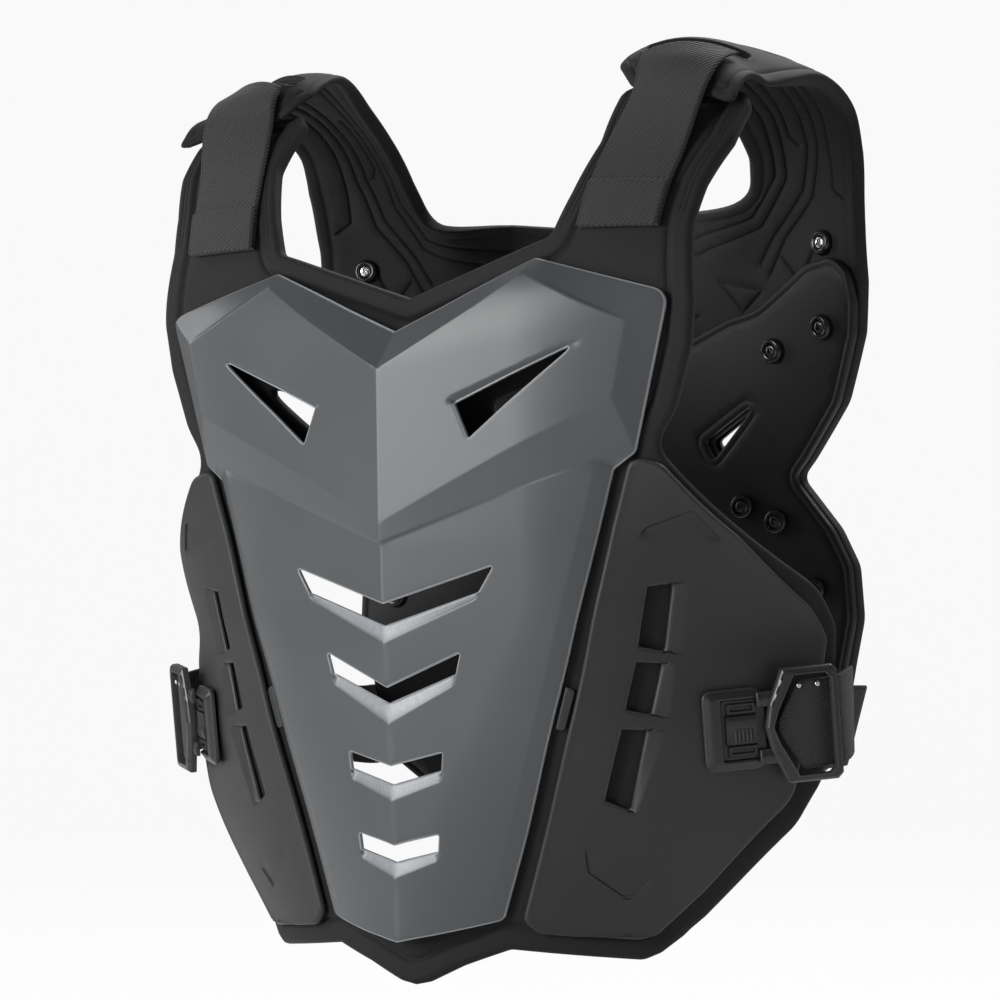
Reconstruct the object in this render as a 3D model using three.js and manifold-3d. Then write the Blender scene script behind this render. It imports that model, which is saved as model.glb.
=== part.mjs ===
// Roost deflector: a chest and back protector of moulded plastic shells on foam pads, worn over the shoulders.
// +Z is up, the chest faces -Y and +X is the wearer's left. The origin lies midway between the shoulders,
// at the height of the shoulder line that the pads rest on.
import * as THREE from "three";
import { mergeVertices } from "three/addons/utils/BufferGeometryUtils.js";
import Module from "manifold-3d";

const wasm = await Module();
wasm.setup();

// Driving sizes in millimetres
const bodyLength = 500; // shoulder line down to the lower corners of the chest pad
const halfWaist = 200; // middle out to the edge of the chest pad at the buckles
const chestDepth = 98; // origin plane to the outer face of the chest pad
const backDepth = 125; // origin plane to the outer face of the back pad
const chestHeight = -0.29 * bodyLength; // where the chest pad starts to lean back
const bladeHeight = -0.182 * bodyLength; // where the back pad starts to bend over the shoulder
const chestBend = 157; // radius of the chest pad's lean towards the shoulder
const backBend = 95; // radius of the back pad's turn at the shoulder blade
const topBend = 150; // radius of the back pad over the shoulder
const shoulderBend = 95; // radius of the back pad where it turns down to the front
const flapBend = 36; // radius of the shoulder flap's end
const cornerRound = 10; // corner radius that the outlines' rounds are shares of
const padThickness = 9;
const backPadThickness = 9;
const linerThickness = 5; // smooth lower pad on the inside of the back
const shellThickness = 3;
const plateThickness = 3.5;
const backShellThickness = 3;
const ridgeRise = 30; // chest shell's middle ridge over the pad
const lipDepth = 2.6; // how far a vent's lower lip is cut into the chest shell
const webbingWidth = 47;
const webbingThickness = 2.2;
const strapWidth = 48; // elastic side strap
const strapThickness = 1.8;
const buckleHeight = 44;
const buckleWidth = 33;
const buckleThickness = 4.4;
const ringHeight = 62;
const ringWidth = 41;
const ringThickness = 5;
const washerRadius = 7.4;
const washerHeight = 3.4;
const screwRadius = 3.6;
const rivetRadius = 1.5;
const gap = 0.3; // clearance between neighbouring pieces
const layerGap = 1.25; // clearance between curved layers, which their flat facets partly fill
const seatGap = 0.75; // clearance under small pieces and rims
const flangeRise = shellThickness + seatGap; // chest shell's rim over the pad
const chestStep = 21.5; // mesh spacing on the chest pieces
const backStep = 24; // mesh spacing on the back pieces

// Small helpers

const radians = THREE.MathUtils.degToRad;

const sum = (list) => list.reduce((a, b) => a + b, 0);

function ease(from, to, at) {
  return THREE.MathUtils.smoothstep(at, from, to);
}

// A smooth curve through rows of [place, value], level beyond the first and the last row.
function smooth(rows) {
  const slopes = rows.map((row, i) => {
    const before = rows[Math.max(i - 1, 0)];
    const after = rows[Math.min(i + 1, rows.length - 1)];
    return (after[1] - before[1]) / (after[0] - before[0]);
  });
  return (place) => {
    const at = THREE.MathUtils.clamp(place, rows[0][0], rows[rows.length - 1][0]);
    let i = 0;
    while (i < rows.length - 2 && at > rows[i + 1][0]) i += 1;
    const width = rows[i + 1][0] - rows[i][0];
    const t = (at - rows[i][0]) / width;
    const back = (1 - t) * (1 - t);
    return (
      (1 + 2 * t) * back * rows[i][1] +
      t * back * width * slopes[i] +
      t * t * (3 - 2 * t) * rows[i + 1][1] +
      t * t * (t - 1) * width * slopes[i + 1]
    );
  };
}

// One column of a table as a smooth curve: places are shares of the body's length, values shares of a size.
function column(table, index, size) {
  return smooth(table.map((row) => [row[0] * bodyLength, row[index] * size]));
}

// Surfaces: a spine in the middle plane, and a drop that curls the panel round the body beside it

// A spine runs straight up to its anchor and then through its bends. At a height measured along it,
// it gives a point and the outward normal in the Y-Z plane.
function spine({ y, z, lean, side, bends }) {
  return (height) => {
    let left = height - z;
    let angle = radians(lean);
    const at = new THREE.Vector2(y, z);
    for (const { radius, turn } of bends) {
      if (left <= 0) break;
      const part = Math.min(left, radius * Math.abs(radians(turn)));
      const turned = angle + (Math.sign(turn) * part) / radius;
      at.x += (Math.cos(turned) - Math.cos(angle)) * radius * Math.sign(turn);
      at.y += (Math.sin(turned) - Math.sin(angle)) * radius * Math.sign(turn);
      angle = turned;
      left -= part;
    }
    at.x -= Math.sin(angle) * left;
    at.y += Math.cos(angle) * left;
    return { at, out: new THREE.Vector2(side * Math.cos(angle), side * Math.sin(angle)) };
  };
}

// A surface gives the point at x and a height along the spine, lifted off the surface along its normal.
function surface(line, drop) {
  const reach = 0.5;
  const foot = (x, height) => {
    const { at, out } = line(height);
    const fall = drop(x, height);
    return new THREE.Vector3(x, at.x - out.x * fall, at.y - out.y * fall);
  };
  const normal = (x, height) => {
    const across = foot(x + reach, height).sub(foot(x - reach, height));
    const up = foot(x, height + reach).sub(foot(x, height - reach));
    const { out } = line(height);
    const face = across.cross(up).normalize();
    return face.y * out.x + face.z * out.y < 0 ? face.negate() : face;
  };
  const place = (x, height, lift = 0) => foot(x, height).addScaledVector(normal(x, height), lift);
  return { place, normal };
}

// How the chest pad curls back beside its flat middle: height, half width of the flat, strength of the curl
const CHEST_CURL = [
  [-0.97, 0.0, 1.36],
  [-0.86, 0.05, 1.12],
  [-0.756, 0.2, 1.42],
  [-0.68, 0.29, 1.8],
  [-0.618, 0.375, 2.24],
  [-0.48, 0.375, 1.04],
  [-0.29, 0.375, 0.4],
  [-0.2, 0.375, 0.4],
];
const chestFlat = column(CHEST_CURL, 1, halfWaist);
const chestCurl = column(CHEST_CURL, 2, 1 / halfWaist);

function chestDrop(x, height) {
  const beside = Math.max(Math.abs(x) - chestFlat(height), 0);
  return (chestCurl(height) * beside * beside) / 2;
}

const chest = surface(
  spine({
    y: -chestDepth,
    z: chestHeight,
    lean: 1,
    side: -1,
    bends: [{ radius: chestBend, turn: -56 }],
  }),
  chestDrop,
);

// How the back pad curls beside the spine: height, strength of the curl
const BACK_CURL = [
  [-0.88, 0.16],
  [-0.49, 0.16],
  [-0.18, 0.46],
];
// How the shoulder strap drops below the spine's line: height, at its neck side, its middle and its arm side
const STRAP_DROP = [
  [-0.28, 0.04, 0.07, 0.13],
  [-0.14, 0.085, 0.06, 0.145],
  [-0.06, 0.105, 0.035, 0.1],
  [0.0, 0.1, 0.02, 0.05],
  [0.08, 0.065, 0.01, 0.06],
  [0.17, 0.0, 0.0, 0.12],
  [0.24, 0.0, 0.0, 0.125],
  [0.33, 0.015, 0.0, -0.03],
];
const strapSides = { neck: 0.55 * halfWaist, middle: 0.71 * halfWaist, arm: 0.925 * halfWaist };
const backFlat = 0.15 * halfWaist;
const backCurl = column(BACK_CURL, 1, 1 / halfWaist);
const neckDrop = column(STRAP_DROP, 1, halfWaist);
const middleDrop = column(STRAP_DROP, 2, halfWaist);
const armDrop = column(STRAP_DROP, 3, halfWaist);

function backDrop(x, height) {
  const out = Math.abs(x);
  const beside = Math.max(out - backFlat, 0);
  const wall = (backCurl(height) * beside * beside) / 2;
  const strap =
    ease(-0.3 * bodyLength, -0.16 * bodyLength, height) * ease(0.3 * halfWaist, 0.52 * halfWaist, out);
  if (strap === 0) return wall;
  const { neck, middle, arm } = strapSides;
  const arch =
    (neckDrop(height) * (out - middle) * (out - arm)) / ((neck - middle) * (neck - arm)) +
    (middleDrop(height) * (out - neck) * (out - arm)) / ((middle - neck) * (middle - arm)) +
    (armDrop(height) * (out - neck) * (out - middle)) / ((arm - neck) * (arm - middle));
  return wall * (1 - strap) + arch * strap;
}

const back = surface(
  spine({
    y: backDepth,
    z: bladeHeight,
    lean: 2.3,
    side: 1,
    bends: [
      { radius: backBend, turn: 59.7 },
      { radius: topBend, turn: 28 },
      { radius: shoulderBend, turn: 23.3 },
      { radius: flapBend, turn: 58 },
    ],
  }),
  backDrop,
);

// Outlines

// Turns rows of [x share, height share, round share] into points, each corner rounded by its own radius.
function outline(rows) {
  const corners = rows.map(([x, height, round = 0]) => ({
    at: new THREE.Vector2(x * halfWaist, height * bodyLength),
    round: round * cornerRound,
  }));
  const points = [];
  corners.forEach(({ at, round }, i) => {
    if (round === 0) {
      points.push(at);
      return;
    }
    const before = corners[(i + corners.length - 1) % corners.length].at.clone().sub(at);
    const after = corners[(i + 1) % corners.length].at.clone().sub(at);
    const half = Math.abs(before.angleTo(after)) / 2;
    const reach = Math.min(round / Math.tan(half), 0.45 * before.length(), 0.45 * after.length());
    const start = at.clone().addScaledVector(before.normalize(), reach);
    const end = at.clone().addScaledVector(after.normalize(), reach);
    const steps = Math.max(2, Math.round((Math.PI - 2 * half) / 0.5));
    const bend = new THREE.QuadraticBezierCurve(start, at, end);
    points.push(...bend.getPoints(steps));
  });
  return points;
}

// The closed loop as segments no longer than a step.
function segments(points, step, closed = true) {
  const list = [];
  const last = closed ? points.length : points.length - 1;
  for (let i = 0; i < last; i += 1) {
    const from = points[i];
    const to = points[(i + 1) % points.length];
    const parts = Math.max(1, Math.ceil(from.distanceTo(to) / step));
    for (let part = 0; part < parts; part += 1)
      list.push([from.clone().lerp(to, part / parts), from.clone().lerp(to, (part + 1) / parts)]);
  }
  return list;
}

function inside(point, loop) {
  let odd = false;
  for (let i = 0, j = loop.length - 1; i < loop.length; j = i, i += 1) {
    const a = loop[i];
    const b = loop[j];
    if (a.y > point.y !== b.y > point.y) {
      const cross = ((b.x - a.x) * (point.y - a.y)) / (b.y - a.y) + a.x;
      if (point.x < cross) odd = !odd;
    }
  }
  return odd;
}

function distance(point, [from, to]) {
  const along = to.clone().sub(from);
  const t = THREE.MathUtils.clamp(point.clone().sub(from).dot(along) / along.lengthSq(), 0, 1);
  return point.distanceTo(from.clone().addScaledVector(along, t));
}

// A flat Delaunay mesh whose edges follow every segment given: points are added one by one, and a
// segment that is missing from the result is halved until it is there.
function delaunay(corners, wanted) {
  const far = 8 * bodyLength;
  const points = [
    new THREE.Vector2(-far, -far),
    new THREE.Vector2(far, -far),
    new THREE.Vector2(0, far),
  ];
  const first = points.length;
  let triangles = [];
  const circle = (a, b, c) => {
    const ab = points[b].clone().sub(points[a]);
    const ac = points[c].clone().sub(points[a]);
    const twice = 2 * ab.cross(ac);
    const x = (ac.y * ab.lengthSq() - ab.y * ac.lengthSq()) / twice;
    const y = (ab.x * ac.lengthSq() - ac.x * ab.lengthSq()) / twice;
    const centre = new THREE.Vector2(points[a].x + x, points[a].y + y);
    return { corners: [a, b, c], centre, reach: x * x + y * y };
  };
  triangles.push(circle(0, 1, 2));
  const insert = (point) => {
    const known = points.findIndex((other) => other.distanceToSquared(point) < 1e-6);
    if (known >= 0) return known;
    const index = points.push(point) - 1;
    const open = new Map();
    triangles = triangles.filter(({ corners: three, centre, reach }) => {
      if (centre.distanceToSquared(point) >= reach - 1e-9) return true;
      three.forEach((a, i) => {
        const b = three[(i + 1) % 3];
        if (!open.delete(b + " " + a)) open.set(a + " " + b, [a, b]);
      });
      return false;
    });
    for (const [a, b] of open.values()) triangles.push(circle(a, b, index));
    return index;
  };
  corners.forEach(insert);
  let missing = wanted.map(([from, to]) => [insert(from), insert(to)]);
  const kept = [];
  while (missing.length) {
    const edges = new Set();
    for (const { corners: three } of triangles)
      three.forEach((a, i) => edges.add(a + " " + three[(i + 1) % 3]));
    const halved = [];
    for (const [a, b] of missing) {
      if (edges.has(a + " " + b) || edges.has(b + " " + a)) {
        kept.push([a, b]);
        continue;
      }
      const middle = insert(points[a].clone().lerp(points[b], 0.5));
      halved.push([a, middle], [middle, b]);
    }
    if (halved.length) missing = halved.concat(kept.splice(0));
    else missing = [];
  }
  return {
    points: points.slice(first),
    triangles: triangles
      .map(({ corners: three }) => three.map((i) => i - first))
      .filter((three) => three.every((i) => i >= 0)),
  };
}

// Fills an outline, less its holes, with triangles about one step wide that follow the creases.
function fill({ loop, holes = [], creases = [], step }) {
  const wanted = [
    ...segments(loop, step),
    ...holes.flatMap((hole) => segments(hole, step)),
    ...creases.flatMap((crease) => segments(crease, step, false)),
  ];
  const box = new THREE.Box2().setFromPoints(loop);
  const free = [];
  const rowHeight = step * Math.sqrt(0.75);
  let row = 0;
  for (let y = box.min.y; y < box.max.y; y += rowHeight) {
    row += 1;
    for (let x = box.min.x + (row % 2 ? 0 : step / 2); x < box.max.x; x += step) {
      const nudge = 0.02 * step;
      const point = new THREE.Vector2(x + nudge * Math.sin(y), y + nudge * Math.cos(x));
      if (!inside(point, loop) || holes.some((hole) => inside(point, hole))) continue;
      if (wanted.every((segment) => distance(point, segment) > 0.55 * step)) free.push(point);
    }
  }
  const mesh = delaunay(free, wanted);
  const kept = mesh.triangles.filter((three) => {
    const middle = new THREE.Vector2();
    three.forEach((i) => middle.addScaledVector(mesh.points[i], 1 / 3));
    return inside(middle, loop) && !holes.some((hole) => inside(middle, hole));
  });
  return { points: mesh.points, triangles: kept.map((three) => counterClockwise(mesh.points, three)) };
}

function counterClockwise(points, [a, b, c]) {
  const turn = points[b].clone().sub(points[a]).cross(points[c].clone().sub(points[a]));
  return turn > 0 ? [a, b, c] : [a, c, b];
}

// Closes a flat mesh into a slab: front and back give each point's place in space, and a mirrored slab
// also gets its other half across x = 0. An inward slab has its front face seen from behind.
function slab(flat, { front, behind, mirrored = false, reversed = false }) {
  const corners = [];
  const push = (...three) => corners.push(...(reversed ? three.reverse() : three));
  const halves = mirrored ? [1, -1] : [1];
  for (const half of halves) {
    const flip = (point) => new THREE.Vector2(half * point.x, point.y);
    const outer = flat.points.map((point) => front(flip(point)));
    const inner = flat.points.map((point) => behind(flip(point)));
    const rim = new Map();
    for (const three of flat.triangles) {
      const [a, b, c] = half > 0 ? three : [three[0], three[2], three[1]];
      push(outer[a], outer[b], outer[c]);
      push(inner[a], inner[c], inner[b]);
      for (const [from, to] of [
        [a, b],
        [b, c],
        [c, a],
      ])
        if (!rim.delete(to + " " + from)) rim.set(from + " " + to, [from, to]);
    }
    for (const [from, to] of rim.values()) {
      const onMiddle = Math.abs(flat.points[from].x) < 1e-6 && Math.abs(flat.points[to].x) < 1e-6;
      if (mirrored && onMiddle) continue;
      push(outer[to], outer[from], inner[from]);
      push(outer[to], inner[from], inner[to]);
    }
  }
  return merge(new THREE.BufferGeometry().setFromPoints(corners));
}

// A closed band: each station gives the points across its middle layer, edge to edge, and its face normal.
function band(stations, thickness) {
  const corners = [];
  const layers = stations.map(({ across, up }) => {
    const lift = up.clone().multiplyScalar(thickness / 2);
    return {
      top: across.map((point) => point.clone().add(lift)),
      under: across.map((point) => point.clone().sub(lift)),
    };
  });
  const rings = layers.map(({ top, under }) => [top[0], ...under, ...top.slice(1).reverse()]);
  const quad = (a, b, c, d) => corners.push(a, b, c, a, c, d);
  for (let i = 0; i + 1 < rings.length; i += 1)
    for (let side = 0; side < rings[i].length; side += 1) {
      const next = (side + 1) % rings[i].length;
      quad(rings[i][side], rings[i][next], rings[i + 1][next], rings[i + 1][side]);
    }
  const [head] = layers;
  const tail = layers[layers.length - 1];
  for (let i = 0; i + 1 < head.top.length; i += 1) {
    quad(head.top[i + 1], head.under[i + 1], head.under[i], head.top[i]);
    quad(tail.top[i], tail.under[i], tail.under[i + 1], tail.top[i + 1]);
  }
  return facingOut(merge(new THREE.BufferGeometry().setFromPoints(corners)));
}

// Joins equal corners, which booleans and closed solids need.
function merge(geometry) {
  const bare = geometry.index ? geometry.toNonIndexed() : geometry;
  bare.deleteAttribute("normal");
  bare.deleteAttribute("uv");
  return mergeVertices(bare, 1e-3);
}

function facingOut(geometry) {
  const at = geometry.attributes.position;
  const [a, b, c] = [new THREE.Vector3(), new THREE.Vector3(), new THREE.Vector3()];
  let volume = 0;
  for (let i = 0; i < geometry.index.count; i += 3) {
    a.fromBufferAttribute(at, geometry.index.getX(i));
    b.fromBufferAttribute(at, geometry.index.getX(i + 1));
    c.fromBufferAttribute(at, geometry.index.getX(i + 2));
    volume += a.dot(b.cross(c));
  }
  if (volume < 0) geometry.index.array.reverse();
  return geometry;
}

function solid(geometry) {
  const merged = merge(geometry);
  return new wasm.Manifold(
    new wasm.Mesh({
      numProp: 3,
      vertProperties: merged.attributes.position.array,
      triVerts: new Uint32Array(merged.index.array),
    }),
  );
}

function shape(manifold) {
  const { vertProperties, triVerts } = manifold.getMesh();
  return new THREE.BufferGeometry()
    .setAttribute("position", new THREE.BufferAttribute(vertProperties, 3))
    .setIndex(new THREE.BufferAttribute(triVerts, 1));
}

// Materials

const material = (name, color, roughness, metalness = 0) =>
  new THREE.MeshStandardMaterial({ name, color, roughness, metalness });
const finish = {
  shell: material("shell", 0x4a4f52, 0.42),
  plate: material("plate", 0x2b2f32, 0.55),
  pad: material("pad", 0x191b1b, 0.85),
  liner: material("liner", 0x141615, 0.6),
  webbing: material("webbing", 0x202224, 0.9),
  buckle: material("buckle", 0x1a1c1e, 0.4),
  washer: material("washer", 0x0f1011, 0.25),
  screw: material("screw", 0x9a9da0, 0.25, 1),
};

const root = new THREE.Group();

function add(name, geometry, look, parent = root) {
  geometry.computeVertexNormals();
  const mesh = new THREE.Mesh(geometry, look);
  mesh.name = name;
  parent.add(mesh);
  return mesh;
}

const sides = [
  { name: "left", sign: 1 },
  { name: "right", sign: -1 },
];

// Half outlines, run from the middle of the top round the side to the middle of the bottom

const NECK_AND_SHOULDER = [
  [0.0, -0.276],
  [0.378, -0.223],
  [0.436, -0.2155, 0.8],
  [0.48, -0.165],
  [0.526, -0.1],
  [0.52, -0.02],
  [0.55, -0.006, 0.9],
  [0.88, -0.006, 0.9],
  [0.91, -0.03],
  [0.905, -0.09],
  [0.862, -0.152],
  [0.845, -0.2],
  [0.857, -0.29],
  [0.843, -0.342],
  [0.793, -0.408],
  [0.733, -0.446, 1.4],
];
const CHEST_PAD = [
  ...NECK_AND_SHOULDER,
  [1.024, -0.598, 1.5],
  [1.043, -0.64],
  [1.043, -0.735],
  [1.012, -0.805],
  [0.95, -0.854],
  [0.726, -0.953],
  [0.628, -0.99, 1],
  [0.59, -0.9975, 0.8],
  [0.278, -0.985, 0.8],
  [0.15, -1.003],
  [0.045, -1.022, 1],
  [0.0, -1.0255],
];
// The opening behind the shell's chevron slots, from its bottom up
const CHEST_WINDOW = [
  [0.0, -0.9],
  [0.2, -0.898, 1],
  [0.26, -0.86, 0.8],
  [0.4, -0.572, 0.8],
  [0.34, -0.55, 0.8],
  [0.0, -0.575],
];
const CHEST_PAD_VENT = [
  [0.5, -0.363, 0.2],
  [0.255, -0.393, 0.2],
  [0.283, -0.43, 0.2],
];

const chestPadFlat = fill({
  loop: outline([...CHEST_PAD, ...CHEST_WINDOW]),
  holes: [outline(CHEST_PAD_VENT)],
  step: chestStep,
});
add(
  "front_pad",
  slab(chestPadFlat, {
    mirrored: true,
    front: ({ x, y }) => chest.place(x, y),
    behind: ({ x, y }) => chest.place(x, y, -padThickness),
  }),
  finish.pad,
);

// Chest shell: one moulding with a faceted chest, a middle ridge, two eye-shaped vents and four chevron slots

// Corners of the shell's half outline, down to the middle of its lower edge
const SHELL_EDGE = [
  [0.0, -0.3144],
  [0.416, -0.2425, 0.5],
  [0.798, -0.283, 0.9],
  [0.688, -0.452, 0.7],
  [0.628, -0.47, 0.3],
  [0.523, -0.618],
  [0.418, -0.757],
  [0.341, -0.86],
  [0.268, -0.952, 0.6],
  [0.0, -0.977],
];
// Each chevron slot, lowest first: height of its top edge at the middle and of its lower edge, then the
// upper outer tip and the lower outer corner, each as x and height
const CHEVRONS = [
  { top: -0.872, low: -0.89, tip: [0.121, -0.859], heel: [0.116, -0.877], lip: -0.908, lipHeel: [0.11, -0.889] },
  { top: -0.786, low: -0.806, tip: [0.148, -0.771], heel: [0.143, -0.79], lip: -0.824, lipHeel: [0.137, -0.803] },
  { top: -0.701, low: -0.718, tip: [0.212, -0.6635], heel: [0.197, -0.686], lip: -0.741, lipHeel: [0.187, -0.7] },
  { top: -0.6106, low: -0.634, tip: [0.3135, -0.5706], heel: [0.271, -0.598], lip: -0.6534, lipHeel: [0.252, -0.6084] },
];
const SHELL_VENT = {
  tip: [0.6095, -0.3254],
  upper: [0.209, -0.3898],
  lower: [0.2635, -0.4346],
  innerTip: [0.56, -0.3365],
  innerUpper: [0.2235, -0.3965],
};
// Corners of the raised chest facet: its top, upper outer and lower outer corners
const FACET = { top: [0.407, -0.2605], shoulder: [0.694, -0.313], elbow: [0.647, -0.395] };
const ridgeTop = -0.3562;
const chamferTop = -0.524; // where the facet's lower edge meets the ridge
const stepLow = -0.545; // where the chest's lower edge meets the ridge
const stepEnd = [0.597, -0.458]; // outer end of that lower edge

// Rise of the ridge over the pad, as shares of its height
const RIDGE = [
  [-0.977, 0.58],
  [-0.91, 0.61],
  [-0.74, 0.79],
  [-0.655, 0.92],
  [-0.545, 0.99],
];
const ridgeLine = column(RIDGE, 1, ridgeRise);

const spot = ([x, height]) => new THREE.Vector2(x * halfWaist, height * bodyLength);
const middlePoint = (height) => new THREE.Vector2(0, height * bodyLength);

// The shell's outer edge at a height, for the slopes that run out to it
function shellHalfWidth(height) {
  const rows = SHELL_EDGE.slice(4, 9).map(spot);
  const at = THREE.MathUtils.clamp(height, rows[rows.length - 1].y, rows[0].y);
  const i = Math.max(
    rows.findIndex((row) => row.y <= at),
    1,
  );
  const t = (rows[i - 1].y - at) / (rows[i - 1].y - rows[i].y);
  return THREE.MathUtils.lerp(rows[i - 1].x, rows[i].x, t);
}

const bevelWidth = 0.045 * halfWaist; // steeper bevel along the shell's side edges
const bevelShare = 0.2; // share of the slope's fall that the bevel takes

// Rise of the shell's lower part: a straight slope from the ridge, and a steeper bevel at its edge
function lowerRise(x, height) {
  const half = shellHalfWidth(height);
  const flat = half - bevelWidth;
  const crest = ridgeLine(height);
  const fall = crest - flangeRise;
  const out = Math.min(Math.abs(x), half);
  if (out <= flat) return crest - (fall * (1 - bevelShare) * out) / flat;
  return flangeRise + (fall * bevelShare * (half - out)) / bevelWidth;
}

// Plane through three spots with known rises.
function plane(corners) {
  const [a, b, c] = corners.map(({ at, rise }) => new THREE.Vector3(at.x, at.y, rise));
  const normal = b.clone().sub(a).cross(c.clone().sub(a));
  return (point) => a.z - ((point.x - a.x) * normal.x + (point.y - a.y) * normal.y) / normal.z;
}

const facetRise = 0.44 * ridgeRise; // rise of the facet's outer corners
const facetDip = 0.17 * ridgeRise; // how far the facet's top falls away
const crestRise = 1.08 * ridgeRise; // rise of the ridge at the facet's top
const notchRise = 0.46 * ridgeRise; // rise of the rim at the middle of the neckline
const peakRise = 0.17 * ridgeRise;
const facetBottomRise = 1.05 * ridgeRise;

const notch = middlePoint(SHELL_EDGE[0][1]);
const peak = spot(SHELL_EDGE[1]);
const wing = spot(SHELL_EDGE[2]);
const hip = spot(SHELL_EDGE[3]);
const facetTop = spot(FACET.top);
const facetShoulder = spot(FACET.shoulder);
const facetElbow = spot(FACET.elbow);
const crest = middlePoint(ridgeTop);
const chamferPoint = middlePoint(chamferTop);
const stepPoint = middlePoint(stepLow);
const stepTip = spot(stepEnd);

// The raised chest facet: it falls from the ridge to its outer corners, and a little more at its top
function facetHeight(point) {
  const out = point.x / facetShoulder.x;
  const along = facetShoulder.clone().sub(crest).normalize();
  const above = Math.max(along.cross(point.clone().sub(crest)), 0);
  const reach = along.cross(facetTop.clone().sub(crest));
  const ridge = THREE.MathUtils.lerp(
    crestRise,
    facetBottomRise,
    THREE.MathUtils.clamp((crest.y - point.y) / (crest.y - chamferPoint.y), 0, 1),
  );
  return ridge - (ridge - facetRise) * out - facetDip * (above / reach) ** 2;
}

// Parts of the chest beside the facet, each with the loop that it fills and its rise
const topBevel = [
  { at: notch, rise: notchRise },
  { at: peak, rise: peakRise },
  { at: facetTop, rise: facetHeight(facetTop) },
  { at: crest, rise: crestRise },
];
const wingBevel = [
  { at: peak, rise: peakRise },
  { at: wing, rise: flangeRise },
  { at: facetShoulder, rise: facetHeight(facetShoulder) },
  { at: facetTop, rise: facetHeight(facetTop) },
];
const sideBevel = [
  { at: wing, rise: flangeRise },
  { at: hip, rise: flangeRise },
  { at: facetElbow, rise: facetHeight(facetElbow) },
  { at: facetShoulder, rise: facetHeight(facetShoulder) },
];
const chamferDepth = 0.1 * ridgeRise; // how far the chest's lower edge stands over the lower shell
const chamfer = [
  { at: facetElbow, rise: facetHeight(facetElbow) },
  { at: hip, rise: flangeRise },
  { at: stepTip, rise: lowerRise(stepTip.x, stepTip.y) },
  { at: stepPoint, rise: ridgeLine(stepPoint.y) + 0.3 * chamferDepth },
  { at: chamferPoint, rise: facetBottomRise },
];

// Rise inside a loop of spots: worked out by weights that fall off with the angle seen, so that it meets
// the neighbouring loops along shared edges.
function blended(loop) {
  return (point) => {
    const arms = loop.map(({ at }) => at.clone().sub(point));
    const near = arms.findIndex((arm) => arm.length() < 1e-3);
    if (near >= 0) return loop[near].rise;
    const halves = arms.map((arm, i) => {
      const next = arms[(i + 1) % arms.length];
      return Math.tan(Math.atan2(arm.cross(next), arm.dot(next)) / 2);
    });
    const weights = arms.map((arm, i) => {
      const before = halves[(i + halves.length - 1) % halves.length];
      return Math.abs(before + halves[i]) / arm.length();
    });
    return sum(weights.map((weight, i) => weight * loop[i].rise)) / sum(weights);
  };
}

const facetLoop = [crest, facetTop, facetShoulder, facetElbow, chamferPoint];
const bevels = [topBevel, wingBevel, sideBevel, chamfer].map((loop) => ({
  loop: loop.map(({ at }) => at),
  rise: blended(loop),
}));

function loopDistance(point, loop) {
  if (inside(point, loop)) return 0;
  return Math.min(...loop.map((from, i) => distance(point, [from, loop[(i + 1) % loop.length]])));
}

function shellRise(x, height) {
  const point = new THREE.Vector2(Math.abs(x), height);
  if (loopDistance(point, facetLoop) < 1e-3) return facetHeight(point) - ventDip(point);
  const parts = bevels.map(({ loop, rise }) => ({ away: loopDistance(point, loop), rise }));
  parts.push({ away: belowStep(point) ? 0 : Infinity, rise: () => lowerRise(x, height) - lipDip(point) });
  parts.sort((a, b) => a.away - b.away);
  return parts[0].rise(point);
}

// True on the lower shell, under the chest's lower edge.
function belowStep(point) {
  const edge = stepTip.clone().sub(stepPoint);
  return edge.cross(point.clone().sub(stepPoint)) < -1e-6;
}

// The lower lip of a chevron slot is cut down towards the slot.
function lipDip(point) {
  for (const { low, heel, lip, lipHeel } of CHEVRONS) {
    const inner = [middlePoint(low), spot(heel)];
    const outer = [middlePoint(lip), spot(lipHeel)];
    const loop = [...inner, ...outer.slice().reverse()];
    if (loopDistance(point, loop) > 1e-3) continue;
    const toInner = distance(point, inner);
    const toOuter = distance(point, outer);
    return (lipDepth * toOuter) / (toInner + toOuter);
  }
  return 0;
}

// The upper edge of an eye vent is cut down in the same way.
function ventDip(point) {
  const outer = [spot(SHELL_VENT.tip), spot(SHELL_VENT.upper)];
  const inner = [spot(SHELL_VENT.innerTip), spot(SHELL_VENT.innerUpper)];
  if (loopDistance(point, [...outer, ...inner.slice().reverse()]) > 1e-3) return 0;
  const toInner = distance(point, inner);
  const toOuter = distance(point, outer);
  return (lipDepth * toOuter) / (toInner + toOuter);
}

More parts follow.
